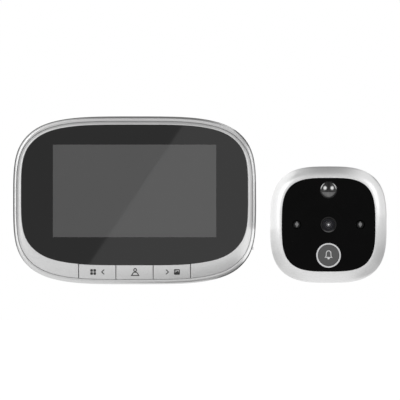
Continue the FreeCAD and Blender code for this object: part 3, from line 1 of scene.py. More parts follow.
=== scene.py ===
# %% [markdown]
# # A digital door peephole, dressed in Blender
#
# The real object is two units. A screen unit hangs on the inside of the door, and a small
# camera and bell unit sits on the outside. Here both lie side by side with their fronts
# towards the camera. Their shapes come packed from CAD, in metres, with X to the right, Z up
# and the fronts facing -Y. This file gives every piece its finish and adds what is too fine
# for CAD, such as threads, printed signs and the jackets of the battery cells.

# %% Load the fixed frame
import math

import bmesh
import bpy
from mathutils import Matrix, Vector


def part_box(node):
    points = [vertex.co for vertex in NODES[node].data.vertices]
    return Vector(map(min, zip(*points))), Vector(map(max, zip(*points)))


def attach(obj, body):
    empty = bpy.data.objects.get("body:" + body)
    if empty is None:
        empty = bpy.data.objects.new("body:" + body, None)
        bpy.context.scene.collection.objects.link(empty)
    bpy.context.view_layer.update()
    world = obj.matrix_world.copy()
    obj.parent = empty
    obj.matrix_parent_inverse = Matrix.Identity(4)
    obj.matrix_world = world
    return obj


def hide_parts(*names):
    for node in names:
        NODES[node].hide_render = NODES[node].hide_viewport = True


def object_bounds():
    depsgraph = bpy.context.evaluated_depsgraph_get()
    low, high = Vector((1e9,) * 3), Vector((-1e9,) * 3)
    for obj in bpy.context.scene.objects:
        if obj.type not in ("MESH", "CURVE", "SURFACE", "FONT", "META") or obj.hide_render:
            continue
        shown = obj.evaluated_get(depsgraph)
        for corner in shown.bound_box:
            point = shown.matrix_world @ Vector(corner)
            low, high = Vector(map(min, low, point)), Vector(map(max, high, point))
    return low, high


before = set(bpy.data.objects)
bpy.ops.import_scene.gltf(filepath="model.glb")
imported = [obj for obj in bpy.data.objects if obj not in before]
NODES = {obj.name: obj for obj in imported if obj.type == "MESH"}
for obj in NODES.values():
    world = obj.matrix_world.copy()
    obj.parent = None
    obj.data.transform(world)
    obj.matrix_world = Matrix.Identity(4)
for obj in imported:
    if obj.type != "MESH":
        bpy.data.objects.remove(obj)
CAD_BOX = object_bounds()

# %% [markdown]
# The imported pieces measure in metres. Small sizes below are written in millimetres and
# turned to metres with one value. Places could be typed in as well, but a node's box says
# where a piece is, so a sign or a thread always sits on what carries it.

# %% Units and places read from the frame
MM = 0.001


def box_of(node):
    """The low and the high corner of a node's box."""
    return [Vector(corner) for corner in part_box(node)]


def middle_of(node):
    """The centre of a node's box."""
    low, high = box_of(node)
    return (low + high) / 2


WINDOW_LOW = box_of("window_glass")[0]
SCREEN_MIDDLE = middle_of("rear_shell")
FACE_MIDDLE = middle_of("outdoor_face")
print("screen unit centre", SCREEN_MIDDLE, "outdoor unit centre", FACE_MIDDLE)

# %% [markdown]
# The photograph was taken from far away with a long lens, straight at the fronts: neither
# unit shows a side. A short lens from close by would fill the frame too, but would show the
# sides that face the middle. The frame is 400 pixels wide, and the sizes of the two units
# give 0.582 mm for each pixel at the plane of the window. The camera stands five metres away
# and the lens follows from that.

# %% Camera
PHOTO_PIXELS = 400
MM_PER_PIXEL = 0.582
CAMERA_DISTANCE = 5.0
SENSOR_WIDTH = 36.0
PICTURE_CENTRE_RIGHT = 38.1 * MM
PICTURE_CENTRE_UP = 0.2 * MM

view_width = PHOTO_PIXELS * MM_PER_PIXEL * MM
camera_data = bpy.data.cameras.new("camera")
camera_data.sensor_width = SENSOR_WIDTH
camera_data.lens = SENSOR_WIDTH * CAMERA_DISTANCE / view_width
camera_data.clip_start = 0.05
camera = bpy.data.objects.new("camera", camera_data)
bpy.context.collection.objects.link(camera)
camera.location = (PICTURE_CENTRE_RIGHT, WINDOW_LOW.y - CAMERA_DISTANCE,
                   SCREEN_MIDDLE.z + PICTURE_CENTRE_UP)
camera.rotation_euler = (math.radians(90), 0, 0)
bpy.context.scene.camera = camera
print("lens %.1f mm" % camera_data.lens)

# %% [markdown]
# A material can be put together by hand in the shader editor. In code it takes two helpers:
# one turns a colour as it is written on screen to the linear numbers that Blender lights
# with, and one adds a node with its settings and links. Every finish below is built from
# them, so each reads like a recipe.

# %% Two helpers for materials
def colour(code):
    """A hex colour such as "c8cacc" as linear red, green and blue, with full alpha."""
    channels = [int(code[i:i + 2], 16) / 255 for i in (0, 2, 4)]
    linear = [c / 12.92 if c <= 0.04045 else ((c + 0.055) / 1.055) ** 2.4 for c in channels]
    return (*linear, 1.0)


def add(tree, kind, inputs=None, **settings):
    """Adds a node. inputs maps a socket's name or number to a value, an output or a node.

    Of a node it takes the first output in use, so that most links need no socket's name.
    """
    node = tree.nodes.new(kind)
    for name, value in settings.items():
        setattr(node, name, value)
    for socket, value in (inputs or {}).items():
        if isinstance(value, bpy.types.Node):
            value = next(output for output in value.outputs if output.enabled)
        if isinstance(value, bpy.types.NodeSocket):
            tree.links.new(value, node.inputs[socket])
        else:
            node.inputs[socket].default_value = value
    return node


def start_material(name):
    """An empty material, its tree and its object coordinates."""
    material = bpy.data.materials.new(name)
    material.use_nodes = True
    tree = material.node_tree
    tree.nodes.clear()
    place = add(tree, "ShaderNodeTexCoord").outputs["Object"]
    print("material:", name)
    return material, tree, place


print("mid grey on screen is %.3f in linear light" % colour("808080")[0])

# %% [markdown]
# The photograph's background is plain white. A world that is bright enough for that would
# also wash out the silver, so light paths are told apart: the world is white to the camera
# and to reflections, and weaker as a light, and a colour renders about as it is written. The
# floor lies a little below the set. Seen directly or in a mirror, three quarters of its white
# is its own glow, and the rest is paper that takes the soft shadow.

# %% World and floor
SKY_LIGHT = 0.62
FLOOR_DROP = 0.12
FLOOR_SIZE = 14.0
FLOOR_FIBRE_MM = 2.5
FLOOR_GLOW = 1.2
FLOOR_GLOW_SHARE = 0.75

world = bpy.data.worlds.new("studio")
bpy.context.scene.world = world
world.use_nodes = True
tree = world.node_tree
tree.nodes.clear()
path = add(tree, "ShaderNodeLightPath")
seen = add(tree, "ShaderNodeMath", {0: path.outputs["Is Camera Ray"],
                                    1: path.outputs["Is Glossy Ray"]}, operation="ADD")
seen = add(tree, "ShaderNodeMath", {0: seen, 1: path.outputs["Is Transmission Ray"]},
           operation="ADD", use_clamp=True)
strength = add(tree, "ShaderNodeMapRange", {"Value": seen, "To Min": SKY_LIGHT, "To Max": 1.0})
background = add(tree, "ShaderNodeBackground", {"Color": (1, 1, 1, 1), "Strength": strength})
add(tree, "ShaderNodeOutputWorld", {"Surface": background})

floor_material, tree, place = start_material("white paper floor")
path = add(tree, "ShaderNodeLightPath")
fibre = add(tree, "ShaderNodeTexNoise", {"Vector": place, "Scale": 1 / (FLOOR_FIBRE_MM * MM),
                                         "Detail": 3.0})
tone = add(tree, "ShaderNodeMix", {0: fibre, 6: colour("f4f4f4"),
                                   7: colour("fafafa")}, data_type="RGBA")
paper = add(tree, "ShaderNodeBsdfDiffuse", {"Color": tone})
lit = add(tree, "ShaderNodeEmission", {"Color": (1, 1, 1, 1), "Strength": FLOOR_GLOW})
direct = add(tree, "ShaderNodeMath", {0: path.outputs["Is Camera Ray"],
                                      1: path.outputs["Is Glossy Ray"]}, operation="MAXIMUM")
share = add(tree, "ShaderNodeMath", {0: direct, 1: FLOOR_GLOW_SHARE}, operation="MULTIPLY")
mixed = add(tree, "ShaderNodeMixShader", {0: share, 1: paper, 2: lit})
add(tree, "ShaderNodeOutputMaterial", {"Surface": mixed})

bpy.ops.object.select_all(action="DESELECT")
floor_height = min(CAD_BOX[0][2], CAD_BOX[1][2]) - FLOOR_DROP
bpy.ops.mesh.primitive_plane_add(size=FLOOR_SIZE, location=(0, 0, floor_height))
floor = bpy.context.object
floor.name = "floor"
floor.data.materials.append(floor_material)
print("floor at %.3f m" % floor_height)

# %% [markdown]
# The silver edges say how the set was lit: the outdoor unit's ring is bright at both upper
# corners and grey between them. One lamp above the camera would be brightest in the middle,
# so two soft ones stand in front, left and right and above eye level.

# %% Lamps
LAMP_SIZE = (0.7, 0.8)
LAMP_BESIDE = 1.0
LAMP_BEFORE = 1.2
LAMP_ABOVE = 0.56
for name, side, watts in (("lamp_left", -1, 4), ("lamp_right", 1, 3)):
    data = bpy.data.lights.new(name, "AREA")
    data.shape = "RECTANGLE"
    data.size, data.size_y = LAMP_SIZE
    data.energy = watts
    lamp = bpy.data.objects.new(name, data)
    bpy.context.collection.objects.link(lamp)
    lamp.location = FACE_MIDDLE + Vector((side * LAMP_BESIDE, -LAMP_BEFORE, LAMP_ABOVE))
    lamp.rotation_euler = (FACE_MIDDLE - lamp.location).to_track_quat("-Z", "Y").to_euler()
    print(name, watts, "W at", lamp.location)

# %% [markdown]
# A shiny object shows what stands round it, so photographers surround it with dark and white
# paper. A picture wrapped round the world could give such reflections, but not to the
# millimetre that a thin edge needs. So each paper here is a flat card that gives off its own
# tone. It casts no shadow, sheds no light on rough surfaces and is hidden from the camera:
# only mirrors see it. Where one paper needs a soft fade, several stand in steps.

# %% Cards that only mirrors see
def stage_card(name, tone, low, high, back_tone=None, strength=1.0):
    """A flat upright or level card between two opposite corners."""
    low, high = Vector(low), Vector(high)
    thin = [axis for axis in range(3) if abs(high[axis] - low[axis]) < 1e-6][0]
    turn = {0: (0, math.pi / 2, 0), 1: (math.pi / 2, 0, 0), 2: (0, 0, 0)}[thin]
    bpy.ops.object.select_all(action="DESELECT")
    bpy.ops.mesh.primitive_plane_add(size=1, location=(low + high) / 2, rotation=turn,
                                     enter_editmode=True)
    bpy.ops.transform.resize(value=[1 if axis == thin else high[axis] - low[axis]
                                    for axis in range(3)])
    bpy.ops.object.mode_set(mode="OBJECT")
    card = bpy.context.object
    card.name = name
    material, tree, _ = start_material(name)
    shown = colour(tone)
    if back_tone:
        side = add(tree, "ShaderNodeNewGeometry").outputs["Backfacing"]
        shown = add(tree, "ShaderNodeMix", {0: side, 6: colour(tone), 7: colour(back_tone)},
                    data_type="RGBA")
    glow = add(tree, "ShaderNodeEmission", {"Color": shown, "Strength": strength})
    add(tree, "ShaderNodeOutputMaterial", {"Surface": glow})
    card.data.materials.append(material)
    card.visible_camera = False
    card.visible_shadow = False
    card.visible_diffuse = False
    return card


def stepped_paper(name, x, near, far, steps, strength=1.0):
    """Upright cards above one another. Each step is its top, its tone and the tone behind."""
    for number, (top, tone, back_tone) in enumerate(steps):
        lower = steps[number + 1][0] if number + 1 < len(steps) else floor_height + 3 * MM
        stage_card("%s_%d" % (name, number), tone, (x, near, lower), (x, far, top),
                   back_tone=back_tone, strength=strength)


# %% [markdown]
# The outermost edges of both units are thin dark lines: they mirror dark paper that stands
# just behind them, beyond the outline.

# %% Dark papers behind both units
SHELL_LOW, SHELL_HIGH = box_of("rear_shell")
RING_LOW, RING_HIGH = box_of("outdoor_frame")
PAPER_Y = 0.03
PAPER_GAP = 0.003
PAPER_WIDE = 0.3
PAPER_MARGIN = 0.02
paper_left = SHELL_LOW.x - PAPER_GAP
paper_far_left = paper_left - PAPER_WIDE
paper_top = SHELL_HIGH.z + PAPER_GAP
stage_card("paper_left", "383838", (paper_far_left, PAPER_Y, SHELL_LOW.z - PAPER_MARGIN),
           (paper_left, PAPER_Y, paper_top))
stage_card("paper_side", "676767", (paper_far_left, -0.07, SHELL_LOW.z),
           (paper_far_left, PAPER_Y, paper_top))
stage_card("paper_top", "6b6b6b", (paper_far_left, PAPER_Y, paper_top),
           (SHELL_HIGH.x, PAPER_Y, paper_top + PAPER_WIDE))
stage_card("paper_right", "4d4d4d",
           (RING_HIGH.x + PAPER_GAP, PAPER_Y, RING_LOW.z + PAPER_MARGIN),
           (RING_HIGH.x + 0.025, PAPER_Y, RING_HIGH.z + PAPER_MARGIN))

# %% [markdown]
# One upright paper stands between the units. Its right side is white and brightens the left
# of the outdoor unit's ring. Its left side is dark, for the screen unit's right edge. Lower
# down it fades in steps, and so does the paper at the far right, because the ring's lower
# part is shaded the same way in the photograph. Each step is its top, the tone towards +X
# and the tone towards -X.

# %% Papers between the units and at the right
BETWEEN_TOP = -0.033
BETWEEN_FAR = 0.1
BETWEEN_NEAR = -0.0225
PAPER_NEAR = -0.4
gap_middle = (SHELL_HIGH.x + RING_LOW.x) / 2
stage_card("paper_between", "ffffff", (gap_middle, BETWEEN_NEAR + 0.5 * MM, BETWEEN_TOP),
           (gap_middle, BETWEEN_FAR, SHELL_HIGH.z + PAPER_MARGIN), back_tone="2d2d2d",
           strength=1.3)
stepped_paper("paper_low_behind", gap_middle, BETWEEN_NEAR, BETWEEN_FAR,
              ((BETWEEN_TOP, "d1d1d1", "2d2d2d"), (-0.04, "c3c3c3", "2d2d2d"),
               (-0.047, "b5b5b5", "2d2d2d"), (-0.062, "c1c1c1", "2d2d2d")), strength=1.6)
stepped_paper("paper_low_before", gap_middle, PAPER_NEAR, BETWEEN_NEAR,
              ((BETWEEN_TOP, "d1d1d1", "ffffff"), (-0.04, "c3c3c3", "ffffff"),
               (-0.047, "b5b5b5", "ffffff"), (-0.062, "c1c1c1", "868686")), strength=1.6)
stepped_paper("paper_low_right", RING_HIGH.x + 0.01, PAPER_NEAR, PAPER_Y,
              ((-0.026, "e7e7e7", None), (-0.034, "dbdbdb", None), (-0.04, "cbcbcb", None),
               (-0.046, "b9b9b9", None), (-0.062, "cbcbcb", None)))

# %% [markdown]
# The top edges mirror grey paper held above. Over the outdoor unit three pairs of papers lie
# one inside the other and fade from pale at the corners to grey in the middle. White paper
# low at both sides lifts the lower edges, and a grey strip on the floor dims the chin's
# middle.

# %% Papers above and below
ABOVE_Z = 0.25
stage_card("paper_above", "6f6f6f", (-0.055, -0.28, ABOVE_Z),
           (RING_HIGH.x - 0.012, PAPER_Y, ABOVE_Z))
for number, (inset, above, behind) in enumerate(((0.003, "dbdbdb", "c7c7c7"),
                                                 (0.012, "bcbcbc", "9b9b9b"),
                                                 (0.021, "909090", "757575"))):
    low_x, high_x = RING_LOW.x + inset, RING_HIGH.x - inset
    above_z = RING_HIGH.z + 0.05 - MM * number
    behind_y = PAPER_Y - MM * number
    stage_card("paper_above_outdoor_%d" % number, above, (low_x, -0.5, above_z),
               (high_x, PAPER_Y, above_z))
    stage_card("paper_behind_outdoor_%d" % number, behind,
               (low_x, behind_y, RING_HIGH.z + PAPER_GAP), (high_x, behind_y, above_z))
stage_card("paper_on_floor", "848484", (0.005, -0.45, floor_height + MM),
           (0.066, -0.03, floor_height + MM))
for name, low_x, high_x, power in (("white_low_left", -0.95, -0.3, 2.3),
                                   ("white_low_right", 0.3, 0.95, 1.7)):
    stage_card(name, "ffffff", (low_x, -0.5, floor_height + 2 * MM), (high_x, -0.5, -0.02),
               strength=power)

# %% [markdown]
# The window mirrors the studio behind the camera. A card there, cut at a slant, is darker
# than the wall beside it, and its edge crosses the window as one straight line. That line
# could be painted on the window, but it would stay put when the window turns. Its two ends
# in the photograph say where the card's edge has to be.

# %% Slanted card and studio wall
CARD_BEHIND_WINDOW = 2.973
CARD_HALF = 1.1
WALL_HALF = 1.4
WALL_BEHIND_CARD = 0.2
DIAGONAL_PIXELS = ((181.5, 127), (89.7, 263.3))
reach = (1 + CARD_BEHIND_WINDOW / CAMERA_DISTANCE) * MM_PER_PIXEL * MM
(top_x, top_z), (foot_x, foot_z) = [
    (camera.location.x + (pixel_x - PHOTO_PIXELS / 2) * reach,
     camera.location.z + (PHOTO_PIXELS / 2 - pixel_y) * reach)
    for pixel_x, pixel_y in DIAGONAL_PIXELS]
slope = (top_x - foot_x) / (top_z - foot_z)
card_y = WINDOW_LOW.y - CARD_BEHIND_WINDOW
wall_y = card_y - WALL_BEHIND_CARD
stage_card("studio_wall", "ebebeb", (-WALL_HALF, wall_y, floor_height + 3 * MM),
           (WALL_HALF, wall_y, CARD_HALF))
slanted = stage_card("slanted_card", "b6b6b6", (-2.0, card_y, -CARD_HALF),
                     (0.0, card_y, CARD_HALF))
for vertex in slanted.data.vertices:
    place = slanted.matrix_world @ vertex.co
    if place.x > -CARD_HALF:
        lean = foot_x + slope * (place.z - foot_z)
        vertex.co = slanted.matrix_world.inverted() @ Vector((lean, place.y, place.z))
print("the card's edge leans %.1f degrees" % math.degrees(math.atan(slope)))

# %% [markdown]
# The casings are ABS sprayed with silver lacquer. Fine aluminium flakes lie flat in it, so
# it mirrors like blurred metal, a little brighter and darker from flake to flake. A plain
# metal shader would look like bare steel, so noise at the flakes' size varies the tone. It is
# drawn as coarse as the render can show. The outdoor unit's ring is drawn in a paler silver.
# Deep in gaps and seams, occlusion darkens the paint to near black: painted shade. Moulded edges
# are never sharp, so the shader rounds them a little and they catch the light.

# %% Silver lacquer on ABS
FLAKE_MM = 0.8
CLOUD_MM = 30
GAP_MM = 0.6
EDGE_ROUND_MM = 0.18


def lacquer(name, dark, light, metal=0.9, matt=(0.285, 0.34), with_gap_shade=True):
    """Silver paint between two tones. With its gap argument on, occlusion darkens it deep in
    gaps: painted shade.
    """
    material, tree, place = start_material(name)
    flakes = add(tree, "ShaderNodeTexNoise", {"Vector": place, "Scale": 1 / (FLAKE_MM * MM),
                                              "Detail": 1.0})
    cloud = add(tree, "ShaderNodeTexNoise", {"Vector": place, "Scale": 1 / (CLOUD_MM * MM),
                                             "Detail": 0.0})
    tone = add(tree, "ShaderNodeMix", {0: flakes, 6: colour(dark),
                                       7: colour(light)}, data_type="RGBA")
    if with_gap_shade:
        # Painted shade: where occlusion is high, deep in gaps between keys and in seams, the
        # paint turns near black
        shade = add(tree, "ShaderNodeAmbientOcclusion", {"Distance": GAP_MM * MM}, samples=8)
        painted_gap_shade = add(tree, "ShaderNodeMapRange", {"Value": shade.outputs["AO"],
                                                 "From Min": 0.4, "From Max": 0.8})
        tone = add(tree, "ShaderNodeMix", {0: painted_gap_shade, 6: colour("151515"),
                                           7: tone}, data_type="RGBA")
    rough = add(tree, "ShaderNodeMapRange", {"Value": cloud, "To Min": matt[0],
                                             "To Max": matt[1]})
    rounded = add(tree, "ShaderNodeBevel", {"Radius": EDGE_ROUND_MM * MM}, samples=6)
    bump = add(tree, "ShaderNodeBump", {"Strength": 0.1, "Distance": 0.01 * MM, "Height": flakes,
                                        "Normal": rounded})
    shader = add(tree, "ShaderNodeBsdfPrincipled", {
        "Base Color": tone, "Metallic": metal, "Roughness": rough,
        "Normal": bump, "Coat Weight": 0.1, "Coat Roughness": 0.25})
    add(tree, "ShaderNodeOutputMaterial", {"Surface": shader})
    return material


def dress(material, *nodes):
    """Gives nodes of the frame their finish."""
    for node in nodes:
        piece = NODES[node]
        piece.data.materials.clear()
        piece.data.materials.append(material)
    print(material.name, "on", ", ".join(nodes))


dress(lacquer("silver lacquer on ABS", "c7c7c7", "d3d3d3", with_gap_shade=False), "rear_shell",
      "battery_door", "power_knob")
dress(lacquer("satin silver lacquer", "cacaca", "d5d5d5", 0.5, (0.4, 0.46)), "front_frame",
      "key_menu_left", "key_view", "key_right_album")
dress(lacquer("paler silver lacquer", "dbdbdb", "e7e7e7", 0.8, (0.36, 0.42), False),
      "outdoor_frame")

# %% [markdown]
# The window is hard-coated plastic, printed black on its back except over the picture, where
# it is tinted smoke grey. From the front that is a black frame round a slightly lighter
# screen, and one hard reflection crosses both. Real glass with light bent through it would
# be slow and noisy at this thickness, so the tint is a surface with a little transparency.

# %% Tinted window with its black print
def product(tree, *values):
    """A node for the product of several nodes or outputs."""
    result = values[0]
    for value in values[1:]:
        result = add(tree, "ShaderNodeMath", {0: result, 1: value}, operation="MULTIPLY")
    return result


PICTURE_W = 95.04 * MM
PICTURE_H = 53.86 * MM
PRINT_EDGE = 0.1 * MM
panel_middle = middle_of("lcd_panel")

window, tree, place = start_material("printed and tinted window")
axes = add(tree, "ShaderNodeSeparateXYZ", {0: place})
within = []
for axis, middle, half in (("X", panel_middle.x, PICTURE_W / 2),
                           ("Z", panel_middle.z, PICTURE_H / 2)):
    away = add(tree, "ShaderNodeMath", {0: axes.outputs[axis], 1: middle}, operation="SUBTRACT")
    away = add(tree, "ShaderNodeMath", {0: away}, operation="ABSOLUTE")
    within.append(add(tree, "ShaderNodeMapRange", {
        "Value": away, "From Min": half - PRINT_EDGE, "From Max": half + PRINT_EDGE,
        "To Min": 1.0, "To Max": 0.0}))
inside = product(tree, *within)
alpha = add(tree, "ShaderNodeMapRange", {"Value": inside, "To Min": 1.0, "To Max": 0.85})
smears = add(tree, "ShaderNodeTexNoise", {"Vector": place, "Scale": 1 / (18 * MM), "Detail": 3.0})
rough = add(tree, "ShaderNodeMapRange", {"Value": smears, "To Min": 0.005, "To Max": 0.02})
tone = add(tree, "ShaderNodeMix", {0: inside, 6: colour("060606"), 7: colour("595959")},
           data_type="RGBA")
rounded = add(tree, "ShaderNodeBevel", {"Radius": 0.25 * MM}, samples=6)
shader = add(tree, "ShaderNodeBsdfPrincipled", {
    "Base Color": tone, "Roughness": rough, "IOR": 1.6, "Alpha": alpha, "Normal": rounded})
add(tree, "ShaderNodeOutputMaterial", {"Surface": shader})
dress(window, "window_glass")

# %% [markdown]
# The display itself is glass over a diffusing white film. Switched off, it is an even grey,
# which the tinted window above it makes darker. A glowing surface would be brighter than the
# lamps make it when the set turns, so it is a plain pale sheet that is lit like the rest.

# %% Display, switched off
display, tree, place = start_material("switched-off display glass")
film = add(tree, "ShaderNodeTexNoise", {"Vector": place, "Scale": 1 / (0.5 * MM), "Detail": 1.0})
tone = add(tree, "ShaderNodeMix", {0: film, 6: colour("bababa"),
                                   7: colour("c4c4c4")}, data_type="RGBA")
shader = add(tree, "ShaderNodeBsdfPrincipled", {
    "Base Color": tone, "Roughness": 0.5, "Specular IOR Level": 0.2})
add(tree, "ShaderNodeOutputMaterial", {"Surface": shader})
dress(display, "lcd_panel")

# %% [markdown]
# The outdoor unit's front is black ABS polished in the mould, with a film that takes most
# of its shine, so it stays almost black in a white room. Gloss at its usual strength would
# mirror the white world as a grey veil, so the specular level is low and a soft haze varies
# the roughness.

# %% Black face of the outdoor unit
black_face, tree, place = start_material("polished black ABS")
haze = add(tree, "ShaderNodeTexNoise", {"Vector": place, "Scale": 1 / (9 * MM), "Detail": 4.0})
rough = add(tree, "ShaderNodeMapRange", {"Value": haze, "To Min": 0.12, "To Max": 0.2})
tone = add(tree, "ShaderNodeMix", {0: haze, 6: colour("020202"),
                                   7: colour("070707")}, data_type="RGBA")
rounded = add(tree, "ShaderNodeBevel", {"Radius": 0.2 * MM}, samples=6)
shader = add(tree, "ShaderNodeBsdfPrincipled", {
    "Base Color": tone, "Roughness": rough, "Specular IOR Level": 0.05, "Normal": rounded})
add(tree, "ShaderNodeOutputMaterial", {"Surface": shader})
dress(black_face, "outdoor_face")

# %% [markdown]
# Most other finishes differ only in tones, grain and shine, so one function makes them: two
# tones and two roughnesses mixed by noise of a real grain size, with a shallow bump of the
# same grain. Stretching the noise along an axis draws rolled or turned metal.

# %% Plain finishes with a grain
def grained(name, dark, light, grain_mm, rough, bump_mm=0.0, stretch=(1, 1, 1), **settings):
    """Makes a finish. settings holds shader inputs with _ for each space in their names."""
    material, tree, place = start_material(name)
    drawn = add(tree, "ShaderNodeVectorMath", {0: place, 1: stretch}, operation="MULTIPLY")
    grain = add(tree, "ShaderNodeTexNoise", {"Vector": drawn, "Detail": 3.0,
                                             "Scale": 1 / (grain_mm * MM)})
    tone = add(tree, "ShaderNodeMix", {0: grain, 6: colour(dark),
                                       7: colour(light)}, data_type="RGBA")
    shine = add(tree, "ShaderNodeMapRange", {"Value": grain, "To Min": rough[0],
                                             "To Max": rough[1]})
    rounded = add(tree, "ShaderNodeBevel", {"Radius": EDGE_ROUND_MM * MM}, samples=4)
    bump = add(tree, "ShaderNodeBump", {"Strength": 0.6, "Distance": bump_mm * MM,
                                        "Height": grain, "Normal": rounded})
    shader = add(tree, "ShaderNodeBsdfPrincipled", {
        "Base Color": tone, "Roughness": shine, "Normal": bump,
        **{key.replace("_", " "): value for key, value in settings.items()}})
    add(tree, "ShaderNodeOutputMaterial", {"Surface": shader})
    return material


# %% [markdown]
# Black plastic, foam and rubber have almost the same tone. The eye tells them apart by shine
# and grain: fine even pits from a mould, pores where foam was cut, a dull skin on rubber.
# Each could have nodes of its own, but here only the numbers given to the function change.

# %% Plastics, foam and rubber
# The mould's spark-eroded texture leaves fine even pits that take the shine away
moulded_black = grained("spark-eroded black ABS", "111111", "1c1c1c", 0.25, (0.42, 0.58), 0.03)
# Nylon is milky and a little waxy
white_nylon = grained("white nylon", "d6d6d2", "e8e8e4", 1.2, (0.4, 0.55), 0.01)
# Cut foam is all small pores, with no shine
black_foam = grained("closed-cell foam", "151515", "2e2e2e", 0.5, (0.9, 1.0), 0.2)
# Moulded rubber is dull and even
black_rubber = grained("moulded silicone rubber", "101010", "1b1b1b", 0.3, (0.55, 0.7), 0.02)
# Chip resin is sandy to the eye
resin = grained("moulded chip resin", "0f0f0f", "1b1b1b", 0.2, (0.5, 0.7), 0.02)
# Pressed paper shows its fibres as soft mottling
coated_paper = grained("coated paper cone", "161616", "242427", 0.4, (0.6, 0.8), 0.05)
# A fine satin texture gives the bell button an even grey
grey_satin = grained("grey satin ABS", "4b4b4b", "595959", 0.45, (0.38, 0.5), 0.01,
                     Specular_IOR_Level=0.35)
# The barrel is blackened so that it throws no light into the lens
optical_black = grained("matt black lens barrel", "1a1a1d", "3c3c40", 0.9, (0.5, 0.65), 0.01,
                        Specular_IOR_Level=0.08)

# %% [markdown]
# Metals differ in the warmth of their grey and in how they were worked: plated, rolled in
# one direction or turned on a lathe. A glossy grey would mirror everything in white, so these
# are fully metallic, and their own tone tints what they mirror.

# %% Metals
# Nickel is a warm grey mirror, a little blurred
nickelled_steel = grained("nickel-plated steel", "b2b0ac", "cfcdc8", 0.2, (0.2, 0.32), 0.004,
                          Metallic=1.0)
# Zinc is cooler, and streaked along the direction in which the sheet was rolled
zinced_steel = grained("zinc-plated rolled sheet", "a4a9b0", "c6cad0", 0.3, (0.3, 0.45), 0.01,
                       stretch=(0.12, 1, 1), Metallic=1.0)
# Turning leaves fine rings round the axis, which show through the nickel
nickelled_brass = grained("turned brass, nickel-plated", "b8ae9b", "d3cbbb", 0.3, (0.18, 0.3),
                          0.008, stretch=(0.03, 1, 0.03), Metallic=1.0)
# Chrome on smooth plastic is the brightest mirror here
bright_chrome = grained("bright chrome on ABS", "d1d1d2", "e0e0e1", 6.0, (0.16, 0.24), 0.0,
                        Metallic=1.0)

# %% [markdown]
# A piece from CAD keeps its mesh as it is and takes its finish through its material slot.
# Each piece could have a material of its own, but pieces made of the same stock look alike,
# so they share one.

# %% Pieces with a plain finish
dress(moulded_black, "outdoor_cover", "speaker_basket", "camera_holder", "ribbon_socket",
      "outdoor_ribbon_socket", "bell_plunger", "plunger_menu_left", "plunger_view",
      "plunger_right_album")
dress(white_nylon, "lcd_backlight")
dress(black_foam, "screen_gasket", "mounting_foam")
dress(black_rubber, "weather_seal")
dress(resin, "board_chips")
dress(coated_paper, "speaker_cone")
dress(nickelled_steel, "key_switches", "bell_switch", "card_socket", "usb_socket",
      "power_switch_body", "contact_bridge", "contact_negative", "contact_positive",
      "case_screws", "board_screws", "outdoor_screws", "pir_sensor")
dress(zinced_steel, "door_bracket")
dress(nickelled_brass, "barrel_nut", "threaded_stub")
dress(bright_chrome, "bell_ring")
dress(optical_black, "camera_barrel")
dress(grey_satin, "bell_button")

# %% [markdown]
# The circuit boards are green solder mask over copper. Copper tracks show through it as
# paler lines that run square to each other, and tinned holes as small bright dots. Tracks
# could be cut into the mesh, but nobody sees them unless the casing is open, so a brick
# pattern with its joints as tracks is enough.

# %% Circuit boards
TRACK_PITCH_MM = 2.2
circuit, tree, place = start_material("solder mask over copper tracks")
axes = add(tree, "ShaderNodeSeparateXYZ", {0: place})
flat = add(tree, "ShaderNodeCombineXYZ", {0: axes.outputs["X"], 1: axes.outputs["Z"]})
tracks = add(tree, "ShaderNodeTexBrick", {
    "Vector": flat, "Color1": colour("12502c"), "Color2": colour("18603a"),
    "Mortar": colour("3d8f5c"), "Scale": 1 / (TRACK_PITCH_MM * MM), "Mortar Size": 0.07,
    "Mortar Smooth": 0.1, "Brick Width": 1.7, "Row Height": 0.35})
holes = add(tree, "ShaderNodeTexVoronoi", {"Vector": flat,
                                           "Scale": 1 / (2 * TRACK_PITCH_MM * MM)})
tinned = add(tree, "ShaderNodeMath", {0: holes.outputs["Distance"], 1: 0.1},
             operation="LESS_THAN")
tone = add(tree, "ShaderNodeMix", {0: tinned, 6: tracks.outputs["Color"],
                                   7: colour("c9c9c6")}, data_type="RGBA")
relief = add(tree, "ShaderNodeBump", {"Strength": 0.5, "Distance": 0.03 * MM,
                                      "Height": tracks.outputs["Fac"]})
shader = add(tree, "ShaderNodeBsdfPrincipled", {
    "Base Color": tone, "Metallic": tinned, "Roughness": 0.3, "Normal": relief})
add(tree, "ShaderNodeOutputMaterial", {"Surface": shader})
dress(circuit, "main_board", "outdoor_board")

# %% [markdown]
# Each battery cell is a steel can in a shrunk plastic jacket, dark grey with a lighter band
# towards the plus end. The nub and a thin rim at each end stay bare nickel. The jacket could
# be a tube of its own, but it is thinner than a hair, so one ramp along the cell colours it.
# The upper two cells have their plus ends on the left and the lower two on the right, like
# their nubs.

